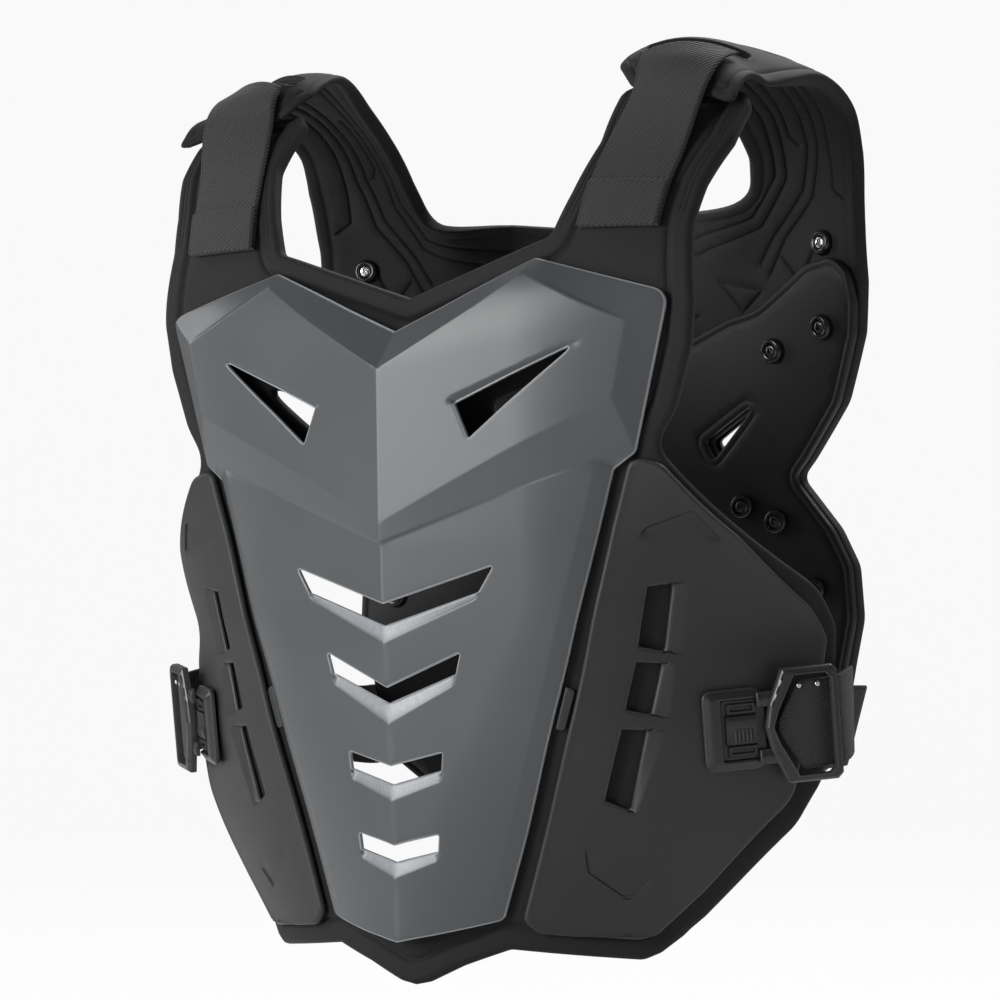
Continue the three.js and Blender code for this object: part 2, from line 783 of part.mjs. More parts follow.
const shellMiddle = CHEVRONS.flatMap(({ low, heel, tip, top }) => [
  [0, low],
  heel,
  tip,
  [0, top],
]);
const ventHole = [SHELL_VENT.innerTip, SHELL_VENT.innerUpper, SHELL_VENT.lower];
const shellFlat = fill({
  loop: outline([...SHELL_EDGE, ...shellMiddle]),
  holes: [ventHole.map(spot)],
  creases: [
    [crest, facetTop, facetShoulder, facetElbow, chamferPoint],
    [peak.clone().lerp(facetTop, 0.2), facetTop],
    [wing.clone().lerp(facetShoulder, 0.2), facetShoulder],
    [hip.clone().lerp(facetElbow, 0.2), facetElbow],
    [stepTip, stepPoint],
    [SHELL_VENT.tip, SHELL_VENT.upper].map(spot),
    [SHELL_VENT.tip, SHELL_VENT.innerTip].map(spot),
    [SHELL_VENT.upper, SHELL_VENT.innerUpper].map(spot),
    ...CHEVRONS.map(({ lip, lipHeel, heel }) => [middlePoint(lip), spot(lipHeel), spot(heel)]),
    [0.48, 0.55, 0.62, 0.7, 0.76, 0.83, 0.9, 0.95].map((share) => {
      const height = -share * bodyLength;
      return new THREE.Vector2(shellHalfWidth(height) - bevelWidth, height);
    }),
  ],
  step: chestStep,
});
add(
  "front_shell",
  slab(shellFlat, {
    mirrored: true,
    front: ({ x, y }) => chest.place(x, y, shellRise(x, y)),
    behind: ({ x, y }) => chest.place(x, y, shellRise(x, y) - shellThickness),
  }),
  finish.shell,
);

// Side plates

const SIDE_PLATE = [
  [0.7, -0.4585, 0.8],
  [0.752, -0.464, 1],
  [0.9, -0.541],
  [0.995, -0.615, 1.6],
  [1.017, -0.652, 1],
  [1.012, -0.69],
  [0.944, -0.822, 2],
  [0.73, -0.921],
  [0.618, -0.967, 0.7],
  [0.585, -0.975, 0.5],
  [0.35, -0.966, 0.7],
  [0.315, -0.952, 0.5],
  [0.486, -0.726],
  [0.615, -0.531],
  [0.668, -0.462, 0.8],
];
// Slots in each side plate, as x and height of their corners, from the top one down
const SIDE_SLOTS = [
  [[0.685, -0.594, 0.2], [0.775, -0.588, 0.2], [0.74, -0.667, 0.2], [0.65, -0.657, 0.2]],
  [[0.642, -0.674, 0.2], [0.724, -0.677, 0.2], [0.705, -0.735, 0.2], [0.61, -0.725, 0.2]],
  [[0.598, -0.746, 0.2], [0.699, -0.748, 0.2], [0.608, -0.836, 0.2], [0.54, -0.822, 0.2]],
];
const slotWidth = 0.055 * halfWaist; // open part of a slot, beside its ramp

// The open part of a slot keeps the slot's inner side and is one slot width wide.
function slotOpening([top, topOuter, lowOuter, low]) {
  const share = (from, to) => slotWidth / halfWaist / (to[0] - from[0]);
  const mix = (from, to, t) => [from[0] + (to[0] - from[0]) * t, from[1] + (to[1] - from[1]) * t, 0.2];
  return [top, mix(top, topOuter, share(top, topOuter)), mix(low, lowOuter, share(low, lowOuter)), low];
}

const plateFlat = fill({
  loop: outline(SIDE_PLATE),
  holes: SIDE_SLOTS.map((slot) => outline(slotOpening(slot))),
  step: chestStep,
});
for (const { name, sign } of sides)
  add(
    "side_plate_" + name,
    slab(plateFlat, {
      reversed: sign < 0,
      front: ({ x, y }) => chest.place(sign * x, y, layerGap + plateThickness),
      behind: ({ x, y }) => chest.place(sign * x, y, layerGap),
    }),
    finish.plate,
  );

// Shell tabs: small round-nosed tabs beside the shell's side edges

const SHELL_TAB = [
  [0.47, -0.7],
  [0.494, -0.704, 0.6],
  [0.46, -0.748, 0.6],
  [0.436, -0.746],
];
const tabThickness = 2;
const tabFlat = fill({ loop: outline(SHELL_TAB), step: chestStep / 2 });
for (const { name, sign } of sides)
  add(
    "shell_tab_" + name,
    slab(tabFlat, {
      reversed: sign < 0,
      front: ({ x, y }) => chest.place(sign * x, y, seatGap + tabThickness),
      behind: ({ x, y }) => chest.place(sign * x, y, seatGap),
    }),
    finish.buckle,
  );

// Back pad, with the shoulder pieces that reach over to the front

const BACK_PAD = [
  [0.0, -0.158],
  [0.33, -0.142],
  [0.54, -0.122, 1.2],
  [0.565, -0.06],
  [0.56, 0.02],
  [0.545, 0.1],
  [0.515, 0.18],
  [0.505, 0.225],
  [0.5, 0.265, 0.9],
  [0.57, 0.304],
  [0.82, 0.322],
  [0.905, 0.335, 0.4],
  [0.91, 0.28],
  [0.93, 0.18],
  [0.94, 0.06],
  [0.945, -0.06],
  [0.93, -0.16],
  [0.925, -0.24],
  [0.9, -0.298],
  [0.825, -0.375],
  [0.7, -0.44],
  [0.655, -0.46, 1],
  [0.78, -0.52],
  [0.835, -0.563],
  [0.845, -0.624],
  [0.815, -0.675],
  [0.772, -0.757],
  [0.737, -0.79, 1],
  [0.6, -0.83],
  [0.35, -0.86],
  [0.0, -0.868],
];
// Slot in the shoulder flap that the webbing goes into
const FLAP_SLOT = [
  [0.57, 0.234, 0.3],
  [0.83, 0.196, 0.3],
  [0.835, 0.216, 0.3],
  [0.575, 0.254, 0.3],
];
const BACK_VENT = [
  [0.354, -0.415, 0.3],
  [0.385, -0.438, 0.3],
  [0.56, -0.363, 0.3],
];
const LINER = [
  [0.0, -0.335],
  [0.33, -0.293],
  [0.46, -0.271],
  [0.555, -0.262],
  [0.74, -0.217],
  [0.85, -0.21, 1],
  [0.905, -0.225, 1],
  [0.917, -0.26],
  ...BACK_PAD.slice(-13),
];
const BACK_SHELL = [
  [0.0, -0.21],
  [0.4, -0.195, 1],
  [0.62, -0.15, 1.5],
  [0.82, -0.16, 2],
  [0.85, -0.24, 1.5],
  [0.62, -0.44, 2],
  [0.58, -0.52, 2],
  [0.62, -0.6],
  [0.52, -0.8, 2],
  [0.0, -0.835],
];
// Places of the washers on the liner, as x and height, from the top one down
const WASHERS = [
  [0.794, -0.286],
  [0.613, -0.312],
  [0.485, -0.492],
  [0.598, -0.51],
  [0.72, -0.59],
];
const TOP_SCREW = [0.79, -0.194];
const backVents = [outline(BACK_VENT)];

// A short crease under a washer, so that the pad's facets lie at the washer's height
function seatCrease([x, height]) {
  return [-washerRadius, washerRadius].map(
    (beside) => new THREE.Vector2(x * halfWaist + beside, height * bodyLength),
  );
}

const backPadFlat = fill({
  loop: outline(BACK_PAD),
  holes: [...backVents, outline(FLAP_SLOT)],
  creases: [seatCrease(TOP_SCREW)],
  step: backStep,
});
const flapThickness = 0.45 * backPadThickness;
function backPadDepth(height) {
  return THREE.MathUtils.lerp(
    backPadThickness,
    flapThickness,
    ease(0.1 * bodyLength, 0.25 * bodyLength, height),
  );
}
add(
  "back_pad",
  slab(backPadFlat, {
    mirrored: true,
    reversed: true,
    front: ({ x, y }) => back.place(x, y),
    behind: ({ x, y }) => back.place(x, y, -backPadDepth(y)),
  }),
  finish.pad,
);
const linerFlat = fill({ loop: outline(LINER), holes: backVents, step: backStep });
const linerFace = -backPadThickness - layerGap;
add(
  "back_liner",
  slab(linerFlat, {
    mirrored: true,
    reversed: true,
    front: ({ x, y }) => back.place(x, y, linerFace),
    behind: ({ x, y }) => back.place(x, y, linerFace - linerThickness),
  }),
  finish.liner,
);

// Back shell: a plain plate with a low middle ridge on the outside of the back pad
const backRidge = 0.3 * ridgeRise;
const backRidgeWidth = 0.45 * halfWaist;
const backShellFlat = fill({ loop: outline(BACK_SHELL), holes: backVents, step: backStep });
const backShellRise = (x) => 1.5 * layerGap + backRidge * Math.max(1 - Math.abs(x) / backRidgeWidth, 0);
add(
  "back_shell",
  slab(backShellFlat, {
    mirrored: true,
    reversed: true,
    front: ({ x, y }) => back.place(x, y, backShellRise(x) + backShellThickness),
    behind: ({ x, y }) => back.place(x, y, backShellRise(x)),
  }),
  finish.shell,
);

// Screws and washers on the inside of the back

const washerSides = 10;
const screwSides = 8;
const screwHeight = 1.6;

function lathe(rows, turns) {
  return new THREE.LatheGeometry(
    rows.map(([radius, height]) => new THREE.Vector2(radius, height)),
    turns,
  );
}

// Puts a group on a surface: its Z axis along the surface's normal, its Y axis up the spine's side.
function seat(face, x, height, lift, inward = false) {
  const out = face.normal(x, height).multiplyScalar(inward ? -1 : 1);
  const up = face
    .place(x, height + 1)
    .sub(face.place(x, height - 1))
    .normalize();
  const across = up.clone().cross(out).normalize();
  const upright = out.clone().cross(across);
  const group = new THREE.Group();
  group.quaternion.setFromRotationMatrix(new THREE.Matrix4().makeBasis(across, upright, out));
  group.position.copy(face.place(x, height, inward ? -lift : lift));
  root.add(group);
  return group;
}

// A washer is a dished ring, and the screw's round head sits in it.
const dish = 0.35 * washerHeight;
const washerProfile = [
  [0, 0],
  [washerRadius, 0],
  [0.9 * washerRadius, 0.6 * washerHeight],
  [0.65 * washerRadius, washerHeight],
  [screwRadius + gap, washerHeight],
  [screwRadius + gap, dish],
  [0, dish],
];
const screwProfile = [
  [0, 0],
  [screwRadius, 0],
  [screwRadius, 0.5 * screwHeight],
  [0.7 * screwRadius, screwHeight],
  [0, screwHeight],
];

function upright(geometry) {
  return geometry.rotateX(Math.PI / 2);
}

function screwSet(name, x, height, layer) {
  const group = seat(back, x, height, layer, true);
  add("washer_" + name, facingOut(merge(upright(lathe(washerProfile, washerSides)))), finish.washer, group);
  const screw = add(
    "screw_" + name,
    facingOut(merge(upright(lathe(screwProfile, screwSides)))),
    finish.screw,
    group,
  );
  screw.position.z = dish + gap;
}

const linerInside = linerThickness - linerFace + seatGap;
for (const { name, sign } of sides) {
  const padInside = backPadDepth(TOP_SCREW[1] * bodyLength) + seatGap;
  screwSet("top_" + name, sign * TOP_SCREW[0] * halfWaist, TOP_SCREW[1] * bodyLength, padInside);
  WASHERS.forEach(([x, height], i) =>
    screwSet(i + 1 + "_" + name, sign * x * halfWaist, height * bodyLength, linerInside),
  );
}

// Shoulder webbing: sewn-on end high on the chest pad, over the flap's end and into the flap's slot

// Stations of the webbing's middle on the chest pad: x, height, and how much higher its neck side lies
const WEBBING_ON_CHEST = [
  [0.64, -0.21, 0],
  [0.655, -0.16, 0],
  [0.67, -0.12, 0],
];
// Then its stations on the flap, where it turns in line with the slot
const WEBBING_ON_FLAP = [
  [0.708, 0.31, 0],
  [0.712, 0.28, 0.012],
  [0.712, 0.25, 0.032],
];
const webbingLift = 2.2; // off the flap, whose facets stand out from its curve

function webbingStations(sign) {
  const middles = [
    ...WEBBING_ON_CHEST.map((row) => [chest, seatGap, ...row]),
    ...WEBBING_ON_FLAP.map((row) => [back, webbingLift, ...row]),
  ];
  const place = (side) =>
    new THREE.CatmullRomCurve3(
      middles.map(([face, lift, x, height, turn]) =>
        face.place(
          sign * x * halfWaist + (side * webbingWidth) / 2,
          (height - (sign * side * turn) / 2) * bodyLength,
          lift + webbingThickness / 2,
        ),
      ),
    );
  const lines = [place(-1), place(0), place(1)];
  const steps = 14;
  return Array.from({ length: steps + 1 }, (_, i) => {
    const across = lines.map((line) => line.getPoint(i / steps));
    const along = lines[1].getTangent(i / steps);
    return { across, up: across[2].clone().sub(across[0]).cross(along).normalize() };
  });
}
for (const { name, sign } of sides)
  add("shoulder_webbing_" + name, band(webbingStations(sign), webbingThickness), finish.webbing);

// Side buckles: a base on the side plate, a latch in the base's recess, a ring hinged on the latch

const buckleSpot = [0.833, -0.747]; // middle of the base on the side plate
const ringReach = 0.9 * ringWidth; // middle of the base to the middle of the ring
const recess = { width: 0.74 * buckleWidth, height: 0.74 * buckleHeight, floor: 0.35 * buckleThickness };
const armHeight = 0.13 * ringHeight;
const armPitch = 0.25 * ringHeight; // middle of the buckle to each hinge arm
const latchThickness = 0.8 * buckleThickness;
const ringBar = 4; // width of the ring's bars

function plate(points, depth) {
  return new THREE.ExtrudeGeometry(new THREE.Shape(points), { depth, bevelEnabled: false });
}

// A ring's outline in its own plane, with the apex towards the latch
function ringOutline(inset) {
  const side = ringWidth / 2 - inset;
  const top = ringHeight / 2 - inset;
  const cut = 0.15 * ringWidth;
  const nose = 0.17 * ringWidth + 0.35 * inset;
  return [
    [-side, 0],
    [-side + nose * 0.35, -top + 3 * cut],
    [-side + nose * 1.5, -top],
    [side - cut / 2, -top],
    [side, -top + cut / 2],
    [side, top - cut / 2],
    [side - cut / 2, top],
    [-side + nose * 1.5, top],
    [-side + nose * 0.35, top - 3 * cut],
  ].map(([x, y]) => new THREE.Vector2(x, y));
}

function roundedPlate(width, height, round) {
  const x = width / 2;
  const y = height / 2;
  const corners = [
    [x - round, y - round, 0],
    [-x + round, y - round, 90],
    [-x + round, -y + round, 180],
    [x - round, -y + round, 270],
  ];
  const bends = 3;
  return corners.flatMap(([cx, cy, from]) =>
    Array.from({ length: bends + 1 }, (_, i) => {
      const angle = radians(from + (90 * i) / bends);
      return new THREE.Vector2(cx + round * Math.cos(angle), cy + round * Math.sin(angle));
    }),
  );
}

function box(width, height, depth, x, y, z) {
  return new THREE.BoxGeometry(width, height, depth).translate(x, y, z + depth / 2);
}

function buckleBase() {
  const body = solid(plate(roundedPlate(buckleWidth, buckleHeight, 0.18 * buckleWidth), buckleThickness));
  const pocket = box(recess.width, recess.height, buckleThickness, 0.16 * buckleWidth, 0, recess.floor);
  const mouth = box(0.5 * buckleWidth, recess.height, buckleThickness, 0.5 * buckleWidth, 0, recess.floor);
  return shape(body.subtract(solid(pocket)).subtract(solid(mouth)));
}

function buckleLatch() {
  const width = recess.width - 2 * gap;
  const height = recess.height - 2 * gap;
  let body = solid(box(width, height, latchThickness / 2, 0, 0, 0));
  body = body.add(solid(box(0.72 * width, 0.5 * height, latchThickness, -0.08 * width, 0, 0)));
  const ribs = 4;
  for (let rib = 0; rib < ribs; rib += 1) {
    const y = (rib - (ribs - 1) / 2) * 0.09 * height;
    body = body.add(solid(box(0.4 * width, 0.04 * height, latchThickness + 0.5, 0, y, 0)));
  }
  return shape(body);
}

function buckleRing() {
  const ring = plate(ringOutline(0), ringThickness);
  const opening = plate(ringOutline(ringBar), 3 * ringThickness).translate(0, 0, -ringThickness);
  let body = solid(ring).subtract(solid(opening));
  for (const y of [-armPitch, armPitch]) {
    const arm = box(0.36 * ringWidth, armHeight, 0.6 * ringThickness, -ringWidth / 2 + 0.1 * ringWidth, y, 0);
    body = body.add(solid(arm));
  }
  return shape(body.subtract(solid(opening)));
}

// Rivets at the top of the strap's folded end, as shares of the ring's width and height from its middle
const RIVETS = [
  [-0.03, 0.34],
  [0.22, 0.34],
];
const rivetSides = 8;
const rivetProfile = [
  [0, 0],
  [rivetRadius, 0],
  [0.75 * rivetRadius, 0.6 * rivetRadius],
  [0, 0.75 * rivetRadius],
];
const strapFace = buckleThickness + gap + 0.45 * ringThickness; // height of the folded end in the ring
const underBar = buckleThickness - strapThickness / 2; // height of the strap under the ring's outer bar
const barInside = ringWidth / 2 - ringBar;
const padEdge = 0.776; // the back pad's edge where the strap goes round it
const edgeLean = 0.28; // how far that edge leans outwards, for each unit up

// Half height of the folded end at a place across the ring, so that it fills the pointed opening
function foldHalf(across) {
  const opening = ringOutline(ringBar + strapThickness);
  const [apex, shoulder, corner] = opening;
  const rows = [apex, shoulder, corner].map(({ x, y }) => [x, Math.abs(y)]);
  if (across >= rows[2][0]) return strapWidth / 2;
  const i = across > rows[1][0] ? 1 : 0;
  const t = (across - rows[i][0]) / (rows[i + 1][0] - rows[i][0]);
  return Math.min(strapWidth / 2, THREE.MathUtils.lerp(rows[i][1], rows[i + 1][1], t));
}

// The side strap: its folded end fills the ring, then it passes under the outer bar and back to the back pad
function strapStations(sign, buckle) {
  buckle.updateWorldMatrix(true, false);
  const at = (across, lift) => buckle.localToWorld(new THREE.Vector3(ringReach + across, 0, lift));
  const height = buckleSpot[1] * bodyLength;
  const onBack = (x, lift) =>
    back.place(sign * x * halfWaist, height, layerGap + (0.5 + lift) * strapThickness);
  const edge = padEdge * halfWaist + 2 * strapThickness; // beside the back pad's edge
  const beside = (lift) => back.place(sign * edge, height, lift * backPadThickness);
  const outerBar = barInside + 0.5 * ringBar;
  const points = [
    at(-0.8 * barInside, strapFace),
    at(-0.3 * barInside, strapFace),
    at(0.4 * barInside, strapFace),
    at(0.85 * barInside, underBar + 0.5 * strapThickness),
    at(outerBar, underBar - 0.5 * strapThickness),
    at(outerBar + 1.3 * ringBar, underBar - 2 * strapThickness),
    at(outerBar + 4.7 * ringBar, underBar - 17 * strapThickness),
    beside(-4),
    beside(-1),
    onBack(padEdge + 0.015, 0.7),
    onBack(padEdge - 0.07, 0.3),
    onBack(padEdge - 0.21, 0),
  ];
  const middle = new THREE.CatmullRomCurve3(points, false, "centripetal");
  const steps = 24;
  const ringUp = new THREE.Vector3(0, sign, 0).transformDirection(buckle.matrixWorld);
  const backUp = new THREE.Vector3(sign * edgeLean, 0, 1).normalize();
  return Array.from({ length: steps + 1 }, (_, i) => {
    const point = middle.getPoint(i / steps);
    const across = buckle.worldToLocal(point.clone()).x - ringReach;
    const upright = ease(0.45, 0.8, i / steps);
    const half = ringUp.clone().lerp(backUp, upright).setLength(foldHalf(across));
    const face = middle
      .getTangent(i / steps)
      .cross(half)
      .normalize();
    return { across: [point.clone().sub(half), point.clone().add(half)], up: face };
  });
}

for (const { name, sign } of sides) {
  const baseLift = layerGap + plateThickness + layerGap;
  const group = seat(chest, sign * buckleSpot[0] * halfWaist, buckleSpot[1] * bodyLength, baseLift);
  const outward = new THREE.Group();
  outward.rotation.z = sign < 0 ? Math.PI : 0;
  group.add(outward);
  add("buckle_base_" + name, buckleBase(), finish.buckle, outward);
  const latch = add("buckle_latch_" + name, buckleLatch(), finish.buckle, outward);
  latch.position.set(0.16 * buckleWidth, 0, recess.floor + gap);
  const ring = add("buckle_ring_" + name, buckleRing(), finish.buckle, outward);
  ring.position.set(ringReach, 0, buckleThickness + gap);
  add("side_strap_" + name, band(strapStations(sign, outward), strapThickness), finish.webbing);
  RIVETS.forEach(([x, y], i) => {
    const rivet = add(
      "strap_rivet_" + (i + 1) + "_" + name,
      facingOut(merge(upright(lathe(rivetProfile, rivetSides)))),
      finish.screw,
      outward,
    );
    rivet.position.set(ringReach + x * ringWidth, sign * y * ringHeight, strapFace + strapThickness / 2 + gap);
  });
}

export default root;
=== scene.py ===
import math

import bpy
import numpy as np
from mathutils import Matrix, Vector
from mathutils.geometry import delaunay_2d_cdt


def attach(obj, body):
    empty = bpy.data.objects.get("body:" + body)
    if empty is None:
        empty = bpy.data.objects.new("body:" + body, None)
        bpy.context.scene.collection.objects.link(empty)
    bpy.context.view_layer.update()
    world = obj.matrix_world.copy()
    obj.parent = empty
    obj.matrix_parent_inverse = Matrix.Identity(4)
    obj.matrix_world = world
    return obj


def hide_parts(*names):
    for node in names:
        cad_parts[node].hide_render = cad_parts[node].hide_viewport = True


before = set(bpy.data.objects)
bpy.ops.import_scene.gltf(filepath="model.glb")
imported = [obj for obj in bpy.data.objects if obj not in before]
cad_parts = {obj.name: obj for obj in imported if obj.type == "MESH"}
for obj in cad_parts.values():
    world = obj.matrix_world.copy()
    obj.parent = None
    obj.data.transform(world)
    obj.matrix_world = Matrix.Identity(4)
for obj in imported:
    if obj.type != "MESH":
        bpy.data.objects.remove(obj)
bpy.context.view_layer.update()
MM = 0.001

# Sizes, as in the part's source
LENGTH = 500
HALF = 200
CORNER = 10
PAD = 9
BACK_PAD = 9
FLAP = 0.45 * BACK_PAD
LINER = 5
SHELL = 3
PLATE = 3.5
BACK_SHELL = 3
RIDGE = 30
LIP = 2.6
LAYER = 1.25
SEAT = 0.75
FLANGE = SHELL + SEAT
WEBBING = (47, 2.2)
STRAP = (48, 1.8)
BUCKLE = (33, 44, 4.4)
RING = (41, 62, 5)
WASHER = (7.4, 3.4)
SCREW = (3.6, 1.6)
RIVET = 1.5
SIDES = (("left", 1), ("right", -1))


# Camera, as the photograph was taken

TARGET = Vector((0, 0, -0.245))
AZIMUTH = math.radians(31)
ELEVATION = math.radians(-2.5)
DISTANCE = 2.159
SENSOR, LENS = 36, 136.8
FARTHEST = 50


def direction(azimuth, elevation):
    """From the target towards an azimuth and an elevation, in radians."""
    level = math.cos(elevation)
    return Vector((math.sin(azimuth) * level, -math.cos(azimuth) * level, math.sin(elevation)))


camera = bpy.data.objects.new("camera", bpy.data.cameras.new("camera"))
bpy.context.scene.collection.objects.link(camera)
bpy.context.scene.camera = camera
camera.data.sensor_width = SENSOR
camera.data.lens = LENS
camera.data.clip_end = FARTHEST
toward = direction(AZIMUTH, ELEVATION)
camera.location = TARGET + toward * DISTANCE
camera.rotation_mode = "QUATERNION"
camera.rotation_quaternion = (-toward).to_track_quat("-Z", "Y")


# Curves and surfaces, as in the part's source


def smooth(rows):
    """A smooth curve through rows of (place, value), level beyond its ends."""
    place, value = np.array(rows, float).T
    near = np.arange(len(place))
    before, after = np.maximum(near - 1, 0), np.minimum(near + 1, len(place) - 1)
    slope = (value[after] - value[before]) / (place[after] - place[before])

    def at(x):
        x = np.clip(x, place[0], place[-1])
        i = np.clip(np.searchsorted(place, x, side="right") - 1, 0, len(place) - 2)
        width = place[i + 1] - place[i]
        t = (x - place[i]) / width
        return (
            (1 + 2 * t) * (1 - t) ** 2 * value[i]
            + t * (1 - t) ** 2 * width * slope[i]
            + t * t * (3 - 2 * t) * value[i + 1]
            + t * t * (t - 1) * width * slope[i + 1]
        )

    return at


def column(table, index, size):
    return smooth([(row[0] * LENGTH, row[index] * size) for row in table])


def ease(low, high, x):
    t = np.clip((x - low) / (high - low), 0, 1)
    return t * t * (3 - 2 * t)


def spine(y, z, lean, side, bends):
    """Straight up to its anchor and then through its bends; gives the point and the outward normal."""

    def line(height):
        left = np.array(height, float) - z
        angle = np.full_like(left, math.radians(lean))
        at_y = np.full_like(left, y)
        at_z = np.full_like(left, z)
        for radius, turn in bends:
            way = math.copysign(1, turn)
            part = np.clip(left, 0, radius * abs(math.radians(turn)))
            bent = angle + way * part / radius
            at_y += (np.cos(bent) - np.cos(angle)) * radius * way
            at_z += (np.sin(bent) - np.sin(angle)) * radius * way
            angle = bent
            left = left - part
        at_y -= np.sin(angle) * left
        at_z += np.cos(angle) * left
        return at_y, at_z, side * np.cos(angle), side * np.sin(angle)

    return line


class Surface:
    """A panel's surface: the point at x and a height along the spine, lifted along its normal."""

    def __init__(self, line, drop):
        self.line, self.drop = line, drop

    def foot(self, x, height):
        y, z, out_y, out_z = self.line(height)
        fall = self.drop(x, height)
        return np.stack([x, y - out_y * fall, z - out_z * fall], -1)

    def normal(self, x, height, reach=0.5):
        across = self.foot(x + reach, height) - self.foot(x - reach, height)
        up = self.foot(x, height + reach) - self.foot(x, height - reach)
        face = np.cross(across, up)
        face /= np.linalg.norm(face, axis=-1, keepdims=True)
        _, _, out_y, out_z = self.line(height)
        flip = np.sign(face[..., 1] * out_y + face[..., 2] * out_z)
        return face * flip[..., None]

    def place(self, x, height, lift=0):
        x = np.asarray(x, float)
        height = np.asarray(height, float)
        lift = np.broadcast_to(np.asarray(lift, float), x.shape)
        return self.foot(x, height) + self.normal(x, height) * lift[..., None]


# Spines: depth and height of the anchor, lean in degrees, bends as (radius, degrees)
CHEST_DEPTH, CHEST_HEIGHT, CHEST_LEAN = 98, -0.29 * LENGTH, 1
CHEST_BENDS = [(157, -56)]
BACK_DEPTH, BLADE_HEIGHT, BACK_LEAN = 125, -0.182 * LENGTH, 2.3
BACK_BENDS = [(95, 59.7), (150, 28), (95, 23.3), (36, 58)]

# Rows of (height share, share of the half width that stays flat, curl beyond it)
CHEST_CURL = [
    (-0.97, 0.0, 1.36),
    (-0.86, 0.05, 1.12),
    (-0.756, 0.2, 1.42),
    (-0.68, 0.29, 1.8),
    (-0.618, 0.375, 2.24),
    (-0.48, 0.375, 1.04),
    (-0.29, 0.375, 0.4),
    (-0.2, 0.375, 0.4),
]
chest_flat = column(CHEST_CURL, 1, HALF)
chest_curl = column(CHEST_CURL, 2, 1 / HALF)


def chest_drop(x, height):
    beside = np.maximum(np.abs(x) - chest_flat(height), 0)
    return chest_curl(height) * beside**2 / 2


chest = Surface(spine(-CHEST_DEPTH, CHEST_HEIGHT, CHEST_LEAN, -1, CHEST_BENDS), chest_drop)

# Rows of (height share, curl), and for the shoulder pieces (height share, drops at neck, middle and arm)
BACK_CURL = [(-0.88, 0.16), (-0.49, 0.16), (-0.18, 0.46)]
STRAP_DROP = [
    (-0.28, 0.04, 0.07, 0.13),
    (-0.14, 0.085, 0.06, 0.145),
    (-0.06, 0.105, 0.035, 0.1),
    (0.0, 0.1, 0.02, 0.05),
    (0.08, 0.065, 0.01, 0.06),
    (0.17, 0.0, 0.0, 0.12),
    (0.24, 0.0, 0.0, 0.125),
    (0.33, 0.015, 0.0, -0.03),
]
NECK, MIDDLE, ARM = 0.55 * HALF, 0.71 * HALF, 0.925 * HALF
WALL_START = 0.15 * HALF
STRAP_LOW, STRAP_HIGH = -0.3 * LENGTH, -0.16 * LENGTH
STRAP_INNER, STRAP_OUTER = 0.3 * HALF, 0.52 * HALF
back_curl = column(BACK_CURL, 1, 1 / HALF)
strap_drops = [column(STRAP_DROP, i, HALF) for i in (1, 2, 3)]


def back_drop(x, height):
    out = np.abs(x)
    wall = back_curl(height) * np.maximum(out - WALL_START, 0) ** 2 / 2
    strap = ease(STRAP_LOW, STRAP_HIGH, height) * ease(STRAP_INNER, STRAP_OUTER, out)
    neck, middle, arm = (drop(height) for drop in strap_drops)
    arch = (
        neck * (out - MIDDLE) * (out - ARM) / ((NECK - MIDDLE) * (NECK - ARM))
        + middle * (out - NECK) * (out - ARM) / ((MIDDLE - NECK) * (MIDDLE - ARM))
        + arm * (out - NECK) * (out - MIDDLE) / ((ARM - NECK) * (ARM - MIDDLE))
    )
    return wall * (1 - strap) + arch * strap


back = Surface(spine(BACK_DEPTH, BLADE_HEIGHT, BACK_LEAN, 1, BACK_BENDS), back_drop)


# Flat meshes


def spot(row):
    return np.array([row[0] * HALF, row[1] * LENGTH])


def spots(rows):
    return np.array([spot(row) for row in rows])


def outline(rows, closed=True):
    """Points of a loop from rows of (x share, height share, round share), with its corners rounded."""
    corners = [(spot(row), (row[2] if len(row) > 2 else 0) * CORNER) for row in rows]
    points = []
    for i, (at, round_) in enumerate(corners):
        inner = closed or 0 < i < len(corners) - 1
        if round_ == 0 or not inner:
            points.append(at)
            continue
        before = corners[i - 1][0] - at
        after = corners[(i + 1) % len(corners)][0] - at
        long_before, long_after = np.linalg.norm(before), np.linalg.norm(after)
        half = math.acos(np.clip(before @ after / long_before / long_after, -1, 1)) / 2
        reach = min(round_ / math.tan(half), 0.45 * long_before, 0.45 * long_after)
        start, end = at + before / long_before * reach, at + after / long_after * reach
        for t in np.linspace(0, 1, 7):
            points.append((1 - t) ** 2 * start + 2 * t * (1 - t) * at + t * t * end)
    return np.array(points)


def mirrored(half):
    """A whole loop from the half that starts and ends on the middle line."""
    half = np.asarray(half)
    return np.concatenate([half, (half * [-1, 1])[::-1][1:-1]])


def chain(points, step, closed=True):
    """The points of a line, no more than a step apart."""
    points = np.asarray(points, float)
    ends = np.roll(points, -1, 0) if closed else points[1:]
    made = []
    for start, end in zip(points, ends):
        parts = max(1, math.ceil(np.linalg.norm(end - start) / step))
        made += [start + (end - start) * i / parts for i in range(parts)]
    if not closed:
        made.append(points[-1])
    return np.array(made)


def looped(points):
    return np.array([*points, points[0]], float)


def inside(points, loop):
    x, y = points[:, 0][:, None], points[:, 1][:, None]
    ax, ay = loop.T
    bx, by = np.roll(loop, 1, 0).T
    with np.errstate(divide="ignore", invalid="ignore"):
        cross = (bx - ax) * (y - ay) / (by - ay) + ax
    return (((ay > y) != (by > y)) & (x < cross)).sum(1) % 2 == 1


